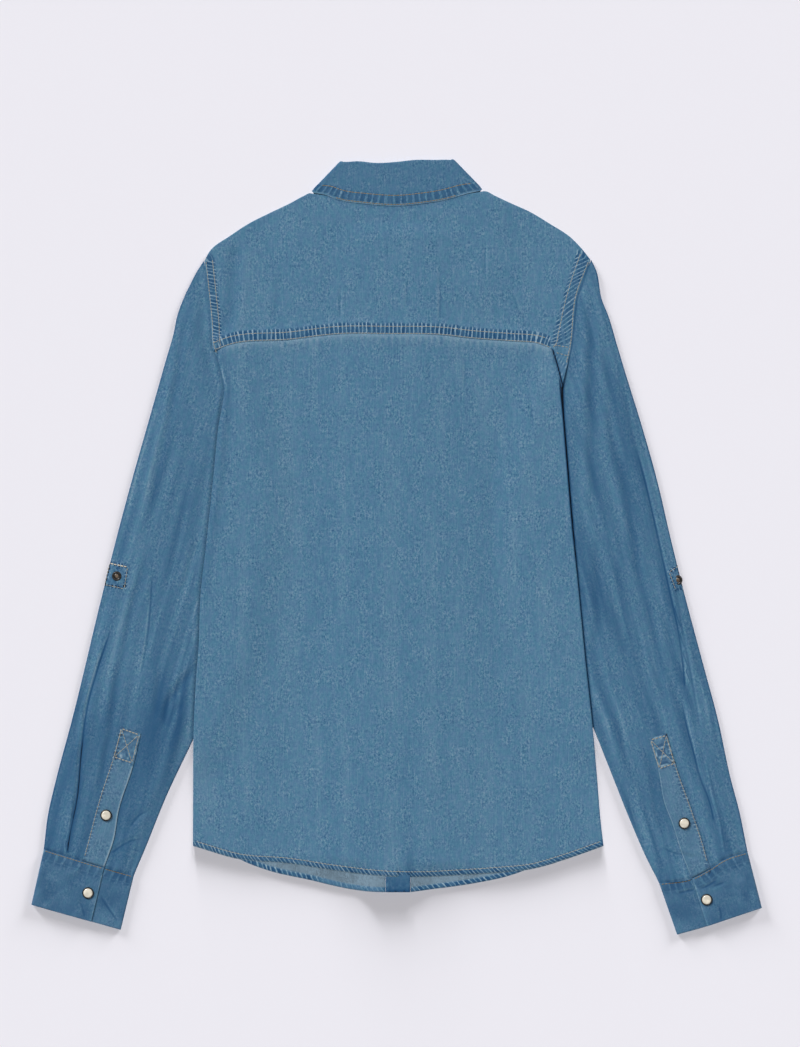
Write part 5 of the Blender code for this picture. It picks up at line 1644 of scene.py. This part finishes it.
def make_stitches():
    """The body's rows of topstitching, and the boxes that hold the roll-up tabs."""
    rows = [
        lay_on(beside(YOKE_EDGE, YOKE_SEAM.near, 0.01, 0.99), yoke_top),
        lay_on(beside(YOKE_EDGE, YOKE_SEAM.far, 0.01, 0.97), yoke_top),
    ]
    sew("yoke_stitches", rows)
    rows = [
        lay_on(beside(ARMHOLE_LEFT, -ARMHOLE_SEAM.near, 0.05, 0.99), yoke_top),
        lay_on(beside(ARMHOLE_LEFT, -ARMHOLE_SEAM.far, 0.1, 1.0), yoke_top),
        lay_on(beside(ARMHOLE_RIGHT, ARMHOLE_SEAM.near, 0.2, 0.98), yoke_top),
        lay_on(beside(ARMHOLE_INNER_RIGHT, 0, 0.02, 0.98), yoke_top),
    ]
    rows += [lay_on(run, yoke_top) for corners in ARMHOLE_CROSSES for run in straight(corners)]
    sew("armhole_stitches", rows)
    sew("hem_stitches", [lay_on(beside(BACK_HEM, BACK_HEM_SEAM.far, 0.005, 0.995), back_top)])
    rows = []
    for line in (FRONT_HEM_LEFT, FRONT_HEM_RIGHT):
        rows.append(lay_on(beside(line, FRONT_HEM_SEAM.far, 0.01, 0.99), front_underside, -0.04))
    sew("front_hem_stitches", rows)
    rows = []
    for lift in (TOP_BAND_LIFT, UNDER_BAND_LIFT):
        for x in (-BAND_HALF + 2, BAND_HALF - 2):
            run = [(x, HEM_Y + 3), (x, NECK_Y - 3)]
            rows.append((np.column_stack([straight(run)[0], np.full(24, lift - 0.15)]), (0, 0, -1)))
    sew("band_stitches", rows)
    for sleeve, creamy, plain in ((LEFT, (0,), (1, 2, 3)), (RIGHT, (), (0, 1))):
        corners = TAB_BOX[sleeve.name]
        on_sleeve = partial(sleeve_face, sleeve)
        runs = [lay_on(run, on_sleeve, 0.1) for run in straight(corners + corners[:1])]
        sew("tab_stitches_" + sleeve.name, [runs[i] for i in plain])
        if creamy:
            second = [lay_on(run - (0.1, 0.55), on_sleeve, 0.1) for run in straight(corners[:2])]
            sew("tab_tack_" + sleeve.name, [runs[i] for i in creamy] + second, "thread_cream")


SENSOR = 36  # height of the camera's sensor, in millimetres
FRAME_MIDDLE = (0.002, 0.0235)  # in metres


def make_stage():
    """The floor, the lamps and the camera."""
    stage = bpy.context.scene.shirt_stage
    work = bmesh.new()
    bmesh.ops.create_grid(work, x_segments=8, y_segments=8, size=stage.floor_width / 2)
    mesh = bpy.data.meshes.new("floor")
    work.to_mesh(mesh)
    work.free()
    mesh.materials.append(bpy.data.materials["floor"])
    floor = placed("floor", mesh)

    world = bpy.data.worlds.new("studio")
    world.use_nodes = True
    sky = world.node_tree.nodes["Background"]
    sky.inputs["Color"].default_value = (1, 1, 1, 1)
    sky.inputs["Strength"].default_value = stage.ambient
    bpy.context.scene.world = world
    only_floor = bpy.data.collections.new("lit_floor")
    all_but_floor = bpy.data.collections.new("lit_shirt")
    for group, state in ((only_floor, "INCLUDE"), (all_but_floor, "EXCLUDE")):
        group.objects.link(floor)
        group.collection_objects[0].light_linking.link_state = state
    body, arms = bpy.data.collections.new("shades_low"), bpy.data.collections.new("shades_high")
    for piece in bpy.context.scene.objects:
        if piece.name.startswith(("front_cloth", "front_band", "back_cloth")):
            body.objects.link(piece)
        if piece.name.startswith(("sleeve_cloth", "cuff_cloth", "yoke_cloth")):
            arms.objects.link(piece)
    low, high = stage.low_light, stage.high_light
    # Name, strength, where it shines from, its width in degrees, what it lights and what shades that
    suns = (
        ("key_light", stage.key_light, (-0.45, 0.62, 0.6), 20, all_but_floor, None),
        ("fill_light", stage.fill_light, (0, 0, 1), 170, all_but_floor, None),
        ("floor_light_lowest", low, (-0.12, 0.95, 0.075), 8, only_floor, body),
        ("floor_light_low", 0.53 * low, (0.12, 0.95, 0.12), 11, only_floor, body),
        ("floor_light_high_left", high, (-0.62, 0.74, 0.17), 16, only_floor, arms),
        ("floor_light_high_right", high, (0.62, 0.74, 0.17), 16, only_floor, arms),
    )
    for name, strength, towards, width, lit, blocks in suns:
        light = bpy.data.lights.new(name, "SUN")
        light.energy = strength
        light.angle = math.radians(width)
        lamp = placed(name, light)
        lamp.rotation_euler = Vector(towards).to_track_quat("Z", "Y").to_euler()
        lamp.location = Vector(towards) * 3
        lamp.light_linking.receiver_collection = lit
        if blocks:
            lamp.light_linking.blocker_collection = blocks

    camera = bpy.data.cameras.new("camera")
    camera.sensor_fit = "VERTICAL"
    camera.sensor_height = SENSOR
    camera.lens = SENSOR * stage.camera_height / stage.view_height
    camera.clip_end = 20
    seen_from = placed("camera", camera)
    seen_from.location = (*FRAME_MIDDLE, stage.camera_height)
    bpy.context.scene.camera = seen_from
    bpy.context.scene.view_settings.view_transform = "Standard"


def nodes_of(name):
    """A new node material with its shader."""
    material = bpy.data.materials.new(name)
    material.use_nodes = True
    return material.node_tree, material.node_tree.nodes["Principled BSDF"]


def set_inputs(shader, values):
    """Numbers that are the same all over, on the shader's own sockets."""
    for key, value in values.items():
        shader.inputs[key].default_value = value


def add(tree, kind, inputs=None, **settings):
    """A node with its settings and its inputs, each a value or a socket."""
    node = tree.nodes.new(kind)
    for key, value in settings.items():
        setattr(node, key, value)
    for key, value in (inputs or {}).items():
        if isinstance(value, bpy.types.NodeSocket):
            tree.links.new(value, node.inputs[key])
        else:
            node.inputs[key].default_value = value
    return node


def maths(tree, operation, a, b=0.0, c=0.0, clamp=False):
    """The output of a math node."""
    return add(tree, "ShaderNodeMath", {0: a, 1: b, 2: c}, operation=operation, use_clamp=clamp).outputs[0]


def ramp(tree, value, low, high, to_low=0.0, to_high=1.0):
    """The value carried from one range to another, and held at its ends."""
    node = add(
        tree,
        "ShaderNodeMapRange",
        {"Value": value, "From Min": low, "From Max": high, "To Min": to_low, "To Max": to_high},
        interpolation_type="SMOOTHSTEP",
    )
    return node.outputs["Result"]


def mixed(tree, factor, a, b, blend_type="MIX"):
    """The output of a colour mix."""
    node = tree.nodes.new("ShaderNodeMix")
    node.data_type = "RGBA"
    node.blend_type = blend_type
    for key, value in ((0, factor), (6, a), (7, b)):
        if isinstance(value, bpy.types.NodeSocket):
            tree.links.new(value, node.inputs[key])
        else:
            node.inputs[key].default_value = value
    return node.outputs[2]


def stretched(tree, vector, scale, size=1.0, detail=2.0):
    """Noise whose grain is stretched by scale along each way of the cloth."""
    mapping = add(tree, "ShaderNodeMapping", {"Vector": vector, "Scale": scale})
    noise_node = add(
        tree, "ShaderNodeTexNoise", {"Vector": mapping.outputs[0], "Scale": size, "Detail": detail}
    )
    return noise_node.outputs["Fac"]


def toned(colour, factor=1.0):
    """A colour made lighter or darker, with its alpha."""
    return (*(factor * part for part in colour), 1)


def two_toned(name, scale, detail, low, high, first, second):
    """A finish that wanders between two tones on the piece's own coordinates."""
    tree, shader = nodes_of(name)
    place = add(tree, "ShaderNodeTexCoord").outputs["Object"]
    wander = stretched(tree, place, scale, 1, detail)
    colour = mixed(tree, ramp(tree, wander, low, high), first, second)
    tree.links.new(colour, shader.inputs["Base Color"])
    return tree, shader, wander


def make_denim():
    """The denim: its weave, its slubs, its abraded high places and its dark seams, with painted shade and
    painted highlights.
    """
    colours = bpy.context.scene.shirt_colours
    tree, shader = nodes_of("denim_cloth")
    plus, minus, times, scaled, size_of = (
        partial(maths, tree, sum_of)
        for sum_of in ("ADD", "SUBTRACT", "MULTIPLY", "MULTIPLY_ADD", "ABSOLUTE")
    )
    base, dark = toned(colours.denim), toned(colours.denim_dark)
    pale, reverse = toned(colours.denim_pale), toned(colours.wrong_side)
    place = add(tree, "ShaderNodeUVMap", uv_map="grain").outputs["UV"]
    grain = partial(stretched, tree, place)
    step, mix = partial(ramp, tree), partial(mixed, tree)
    patches = grain((38, 26, 1), 1, 3)
    blotches = grain((150, 100, 1), 1, 3)
    speckle = grain((1100, 700, 1), 1, 2)
    squiggles = grain((330, 210, 1), 1, 2)
    slubs = grain((800, 42, 1), 1, 2)
    wefts = grain((60, 1300, 1), 1, 1)
    dots = grain((500, 340, 1), 1, 1)
    busy = step(grain((75, 50, 1), 1, 2), 0.36, 0.64, 0.4, 1.6)
    fine = scaled(dots, 0.5, -0.25)
    fine = plus(fine, scaled(speckle, 0.5, -0.25))
    fine = times(times(fine, 2.9), busy)
    tone = scaled(patches, 0.3, -0.15)
    for part, weight in ((blotches, 0.4), (squiggles, 0.55), (wefts, 0.2), (slubs, 0.6)):
        tone = plus(tone, scaled(part, weight, -weight / 2))
    tone = plus(tone, fine)
    lighter = times(tone, 0.38, clamp=True)
    darker = times(tone, -1.0, clamp=True)
    hue = step(grain((210, 130, 1), 1, 2), 0.38, 0.62)
    red, green, blue, _ = base
    greener, redder = (0.95 * red, 1.02 * green, 0.99 * blue, 1), (1.07 * red, 0.98 * green, 1.01 * blue, 1)
    base = mix(hue, greener, redder)
    cloth = mix(darker, mix(lighter, base, pale), dark)
    dashes = step(slubs, 0.62, 0.76, 0.0, 0.1)
    cloth = mix(dashes, cloth, pale)

    worn_and_shaded, turned_out, turns, across, pucker, fold, sharp = (
        add(tree, "ShaderNodeAttribute", attribute_name=key, attribute_type="GEOMETRY").outputs["Fac"]
        for key in LOOKS
    )
    turns = plus(turns, scaled(blotches, 0.5, -0.25))
    wave = maths(tree, "COSINE", times(turns, 2 * math.pi))
    ragged = plus(wave, scaled(dots, 1.0, -0.5))
    gap = step(ragged, 0.3, 0.85)

    def each_turn(shift):
        """A value of its own for every pucker."""
        turn = {"W": maths(tree, "FLOOR", plus(turns, shift))}
        return add(tree, "ShaderNodeTexWhiteNoise", turn, noise_dimensions="1D").outputs["Value"]

    each_gap, each_block = each_turn(0.5), each_turn(20.0)
    gap_tone = times(gap, scaled(each_gap, 0.5, 0.1))
    block_tone = times(minus(1.0, gap), scaled(each_block, -0.5, -0.8))
    band = times(step(across, -0.05, 0.05), step(across, 1.05, 0.95))
    patchy = step(blotches, 0.35, 0.65, 0.7, 1.15)
    blocks = times(plus(gap_tone, block_tone), times(band, patchy))
    above = times(step(across, 1.0, 1.1), step(minus(across, times(each_gap, 0.3)), 1.65, 1.1))
    comb = times(scaled(gap, 1.5, -1.0), times(above, patchy))
    near, far = size_of(across), size_of(minus(across, 1.0))
    nearest_row = maths(tree, "MINIMUM", near, far)
    row = step(nearest_row, 0.11, 0.03, 0.0, 0.4)
    seam = plus(plus(blocks, comb), row)
    worn_and_shaded = plus(worn_and_shaded, times(seam, pucker))
    # Along sharp creases: painted shade in the fold, a painted highlight on the ridge beside it and softer
    # painted shade on the other side
    fold_shade = step(size_of(plus(fold, 0.2)), 1.4, 0.3, 0.0, -0.75)
    ridge = step(size_of(minus(fold, 1.9)), 1.2, 0.2, 0.0, 0.34)
    valley = times(step(fold, -8.0, -0.5, 0.0, -0.28), step(fold, 0.6, -0.6))
    pleat_shading = plus(plus(fold_shade, ridge), valley)
    worn_and_shaded = plus(worn_and_shaded, times(pleat_shading, sharp))
    broken = scaled(speckle, 1.1, 0.45)
    # Pale for abrasion and for painted highlights, dark for dye in troughs and for painted shade
    lightened = times(times(worn_and_shaded, broken), 0.9, clamp=True)
    sunk = times(worn_and_shaded, -0.85, clamp=True)
    cloth = mix(lightened, cloth, pale)
    cloth = mix(sunk, cloth, dark)
    # Near-black painted shadow where the painted shade runs deepest, in the narrow gaps between parts
    painted_gap_shadow = step(worn_and_shaded, -1.4, -1.95)
    cloth = mix(painted_gap_shadow, cloth, (0.001, 0.008, 0.022, 1))
    wrong_tone = plus(times(tone, 0.6), minus(patches, blotches))
    wrong = mix(step(wrong_tone, -0.5, 0.5), toned(colours.wrong_side, 0.6), reverse)
    cloth = mix(turned_out, cloth, wrong)
    tree.links.new(cloth, shader.inputs["Base Color"])

    warp = add(
        tree, "ShaderNodeTexWave", {"Vector": place, "Scale": 260.0, "Distortion": 0.6, "Detail": 1.0}
    ).outputs["Fac"]
    weave = plus(times(warp, 0.4), speckle)
    bump = add(tree, "ShaderNodeBump", {"Height": weave, "Strength": 0.35, "Distance": 0.0004})
    tree.links.new(bump.outputs[0], shader.inputs["Normal"])
    set_inputs(shader, {"Roughness": 0.88, "Specular IOR Level": 0.2})
    set_inputs(shader, {"Sheen Weight": 0.12, "Sheen Roughness": 0.5})


def make_thread(name, colour):
    """Sewing thread, lighter and darker by turns."""
    _, shader, _ = two_toned(name, (900, 900, 900), 2, 0.35, 0.65, toned(colour, 0.62), toned(colour))
    set_inputs(shader, {"Roughness": 0.7})


def make_metal(name, colour, roughness):
    """Metal with a wiped, uneven finish."""
    tree, shader, wiped = two_toned(name, (500, 500, 1800), 3, 0.35, 0.7, toned(colour), toned(colour, 2.1))
    tree.links.new(ramp(tree, wiped, 0.3, 0.75, roughness, roughness + 0.2), shader.inputs["Roughness"])
    set_inputs(shader, {"Metallic": 1.0})


def make_pearl(colour):
    """The pearl of the caps."""
    _, shader, _ = two_toned("pearl_cap", (160, 260, 160), 4, 0.4, 0.62, toned(colour, 0.78), toned(colour))
    set_inputs(shader, {"Roughness": 0.22, "Coat Weight": 0.5, "Coat Roughness": 0.08})


def make_floor(colour):
    """The plain ground."""
    tree, shader = nodes_of("floor")
    place = add(tree, "ShaderNodeTexCoord").outputs["Object"]
    grain = stretched(tree, place, (40, 40, 40), 1, 2)
    colour = mixed(tree, grain, toned(colour, 0.995), toned(colour))
    tree.links.new(colour, shader.inputs["Base Color"])
    set_inputs(shader, {"Roughness": 0.9, "Specular IOR Level": 0.1})


def length_prop(name, description, default):
    return FloatProperty(name=name, description=description, default=default, unit="LENGTH", precision=5)


def colour_prop(name, description, default):
    return FloatVectorProperty(
        name=name, description=description, default=default, subtype="COLOR", size=3, min=0, max=1
    )


def strength_prop(name, description, default):
    return FloatProperty(name=name, description=description, default=default)


class ShirtCloth(bpy.types.PropertyGroup):
    thickness: length_prop("Cloth thickness", "Thickness of one layer of the shirt's cloth", 0.0008)


class ShirtStitches(bpy.types.PropertyGroup):
    stitch_length: length_prop("Stitch length", "Length of one bead of thread", 0.0032)
    stitch_pitch: length_prop("Stitch pitch", "Step from one stitch to the next", 0.003)
    thread_width: length_prop("Thread width", "Width of the topstitching thread", 0.0009)


class ShirtColours(bpy.types.PropertyGroup):
    denim: colour_prop("Denim", "The cloth's right side", (0.069, 0.176, 0.282))
    # Dark denim also colours the painted shade, and pale denim the painted highlights
    denim_dark: colour_prop("Dark denim", "Where the dye stays in troughs and puckers", (0.012, 0.068, 0.16))
    denim_pale: colour_prop("Pale denim", "Where ridges and threads are rubbed pale", (0.34, 0.45, 0.52))
    wrong_side: colour_prop("Wrong side", "The cloth's paler wrong side", (0.18, 0.27, 0.35))
    thread: colour_prop("Thread", "Tan topstitching thread", (0.33, 0.335, 0.3))
    thread_gold: colour_prop("Golden thread", "Thread of the collar's upper row", (0.25, 0.19, 0.11))
    thread_cream: colour_prop("Cream thread", "Bar tacks on the tab boxes", (0.62, 0.58, 0.48))
    metal: colour_prop("Snap metal", "Gunmetal of the snap rims", (0.036, 0.034, 0.033))
    bronze: colour_prop("Snap centre", "Bronze of the tab snaps' centres", (0.13, 0.1, 0.075))
    pearl: colour_prop("Pearl", "Cream caps of the snaps", (0.78, 0.72, 0.6))
    floor: colour_prop("Floor", "Pale studio floor", (0.86, 0.845, 0.905))


class ShirtStage(bpy.types.PropertyGroup):
    floor_width: length_prop("Floor width", "Side of the studio floor", 12.0)
    camera_height: length_prop("Camera height", "Height of the camera above the floor", 6.0)
    view_height: length_prop("View height", "Height of the frame, measured on the floor", 1.047)
    ambient: strength_prop("Ambient", "Strength of the light from all round", 0.1)
    key_light: strength_prop("Key light", "Strength of the light from upper left", 2.6)
    fill_light: strength_prop("Fill light", "Strength of the soft light from above", 1.45)
    low_light: strength_prop("Low floor lights", "Strength of the lower lights on the floor", 9.75)
    high_light: strength_prop("High floor lights", "Strength of the higher lights on the floor", 3.9)


class SHIRT_OT_materials(bpy.types.Operator):
    """Makes the cloth, thread, metal, pearl and floor finishes."""

    bl_idname = "shirt.materials"
    bl_label = "Finishes"

    def execute(self, context):
        colours = context.scene.shirt_colours
        make_denim()
        make_thread("thread", tuple(colours.thread))
        make_thread("thread_gold", tuple(colours.thread_gold))
        make_thread("thread_cream", tuple(colours.thread_cream))
        make_metal("rim_metal", tuple(colours.metal), 0.28)
        make_metal("tab_bronze", tuple(colours.bronze), 0.35)
        make_pearl(tuple(colours.pearl))
        make_floor(tuple(colours.floor))
        return {"FINISHED"}


class SHIRT_OT_fronts(bpy.types.Operator):
    """Makes the two fronts, which lie face down under the back."""

    bl_idname = "shirt.fronts"
    bl_label = "Fronts"

    def execute(self, context):
        make_fronts()
        return {"FINISHED"}


class SHIRT_OT_bands(bpy.types.Operator):
    """Makes the two front bands that the snaps sit on."""

    bl_idname = "shirt.bands"
    bl_label = "Front bands"

    def execute(self, context):
        make_bands()
        return {"FINISHED"}


class SHIRT_OT_back(bpy.types.Operator):
    """Makes the back with its sewn hem."""

    bl_idname = "shirt.back"
    bl_label = "Back"

    def execute(self, context):
        make_back()
        return {"FINISHED"}


class SHIRT_OT_yoke(bpy.types.Operator):
    """Makes the yoke with its felled seams."""

    bl_idname = "shirt.yoke"
    bl_label = "Yoke"

    def execute(self, context):
        make_yoke()
        return {"FINISHED"}


class SHIRT_OT_collar(bpy.types.Operator):
    """Makes the collar fall and the stand it turns over."""

    bl_idname = "shirt.collar"
    bl_label = "Collar"

    def execute(self, context):
        make_collar()
        return {"FINISHED"}


class SHIRT_OT_sleeves(bpy.types.Operator):
    """Makes the sleeves with their pressed creases."""

    bl_idname = "shirt.sleeves"
    bl_label = "Sleeves"

    def execute(self, context):
        for sleeve in (LEFT, RIGHT):
            make_sleeve(sleeve)
            make_sleeve_strip(sleeve)
        return {"FINISHED"}


class SHIRT_OT_cuffs(bpy.types.Operator):
    """Makes the cuffs, lapped at the snap."""

    bl_idname = "shirt.cuffs"
    bl_label = "Cuffs"

    def execute(self, context):
        for sleeve in (LEFT, RIGHT):
            make_cuff(sleeve)
        return {"FINISHED"}


class SHIRT_OT_snaps(bpy.types.Operator):
    """Makes the pearl snaps, the tab snaps and the caps down the front."""

    bl_idname = "shirt.snaps"
    bl_label = "Snaps"

    def execute(self, context):
        make_pearl_snaps()
        make_tab_snaps()
        make_front_snaps()
        return {"FINISHED"}


class SHIRT_OT_stitches(bpy.types.Operator):
    """Lays the body's rows of topstitching and the tab boxes on the finished cloth."""

    bl_idname = "shirt.stitches"
    bl_label = "Stitches"

    def execute(self, context):
        make_stitches()
        return {"FINISHED"}


class SHIRT_OT_stage(bpy.types.Operator):
    """Sets the floor, the lights and the camera."""

    bl_idname = "shirt.stage"
    bl_label = "Stage"

    def execute(self, context):
        make_stage()
        return {"FINISHED"}


STEPS = (
    SHIRT_OT_materials,
    SHIRT_OT_fronts,
    SHIRT_OT_bands,
    SHIRT_OT_back,
    SHIRT_OT_yoke,
    SHIRT_OT_collar,
    SHIRT_OT_sleeves,
    SHIRT_OT_cuffs,
    SHIRT_OT_snaps,
    SHIRT_OT_stitches,
    SHIRT_OT_stage,
)
SETTINGS = {
    "shirt_cloth": ShirtCloth,
    "shirt_stitches": ShirtStitches,
    "shirt_colours": ShirtColours,
    "shirt_stage": ShirtStage,
}


class SHIRT_PT_steps(bpy.types.Panel):
    """Lists the shirt's pieces in the order they are made, and its sizes and colours."""

    bl_idname = "SHIRT_PT_steps"
    bl_label = "Denim shirt"
    bl_space_type = "VIEW_3D"
    bl_region_type = "UI"
    bl_category = "Shirt"

    def draw(self, context):
        for step in STEPS:
            self.layout.operator(step.bl_idname)
        for key, group in SETTINGS.items():
            column = self.layout.column()
            for field in group.__annotations__:
                column.prop(getattr(context.scene, key), field)


def register():
    for cls in (*SETTINGS.values(), *STEPS, SHIRT_PT_steps):
        bpy.utils.register_class(cls)
    for key, group in SETTINGS.items():
        setattr(bpy.types.Scene, key, PointerProperty(type=group))


def unregister():
    for key in SETTINGS:
        delattr(bpy.types.Scene, key)
    for cls in reversed((*SETTINGS.values(), *STEPS, SHIRT_PT_steps)):
        bpy.utils.unregister_class(cls)


def main():
    register()
    for step in STEPS:
        getattr(bpy.ops.shirt, step.bl_idname.split(".")[1])()


if __name__ == "__main__":
    main()
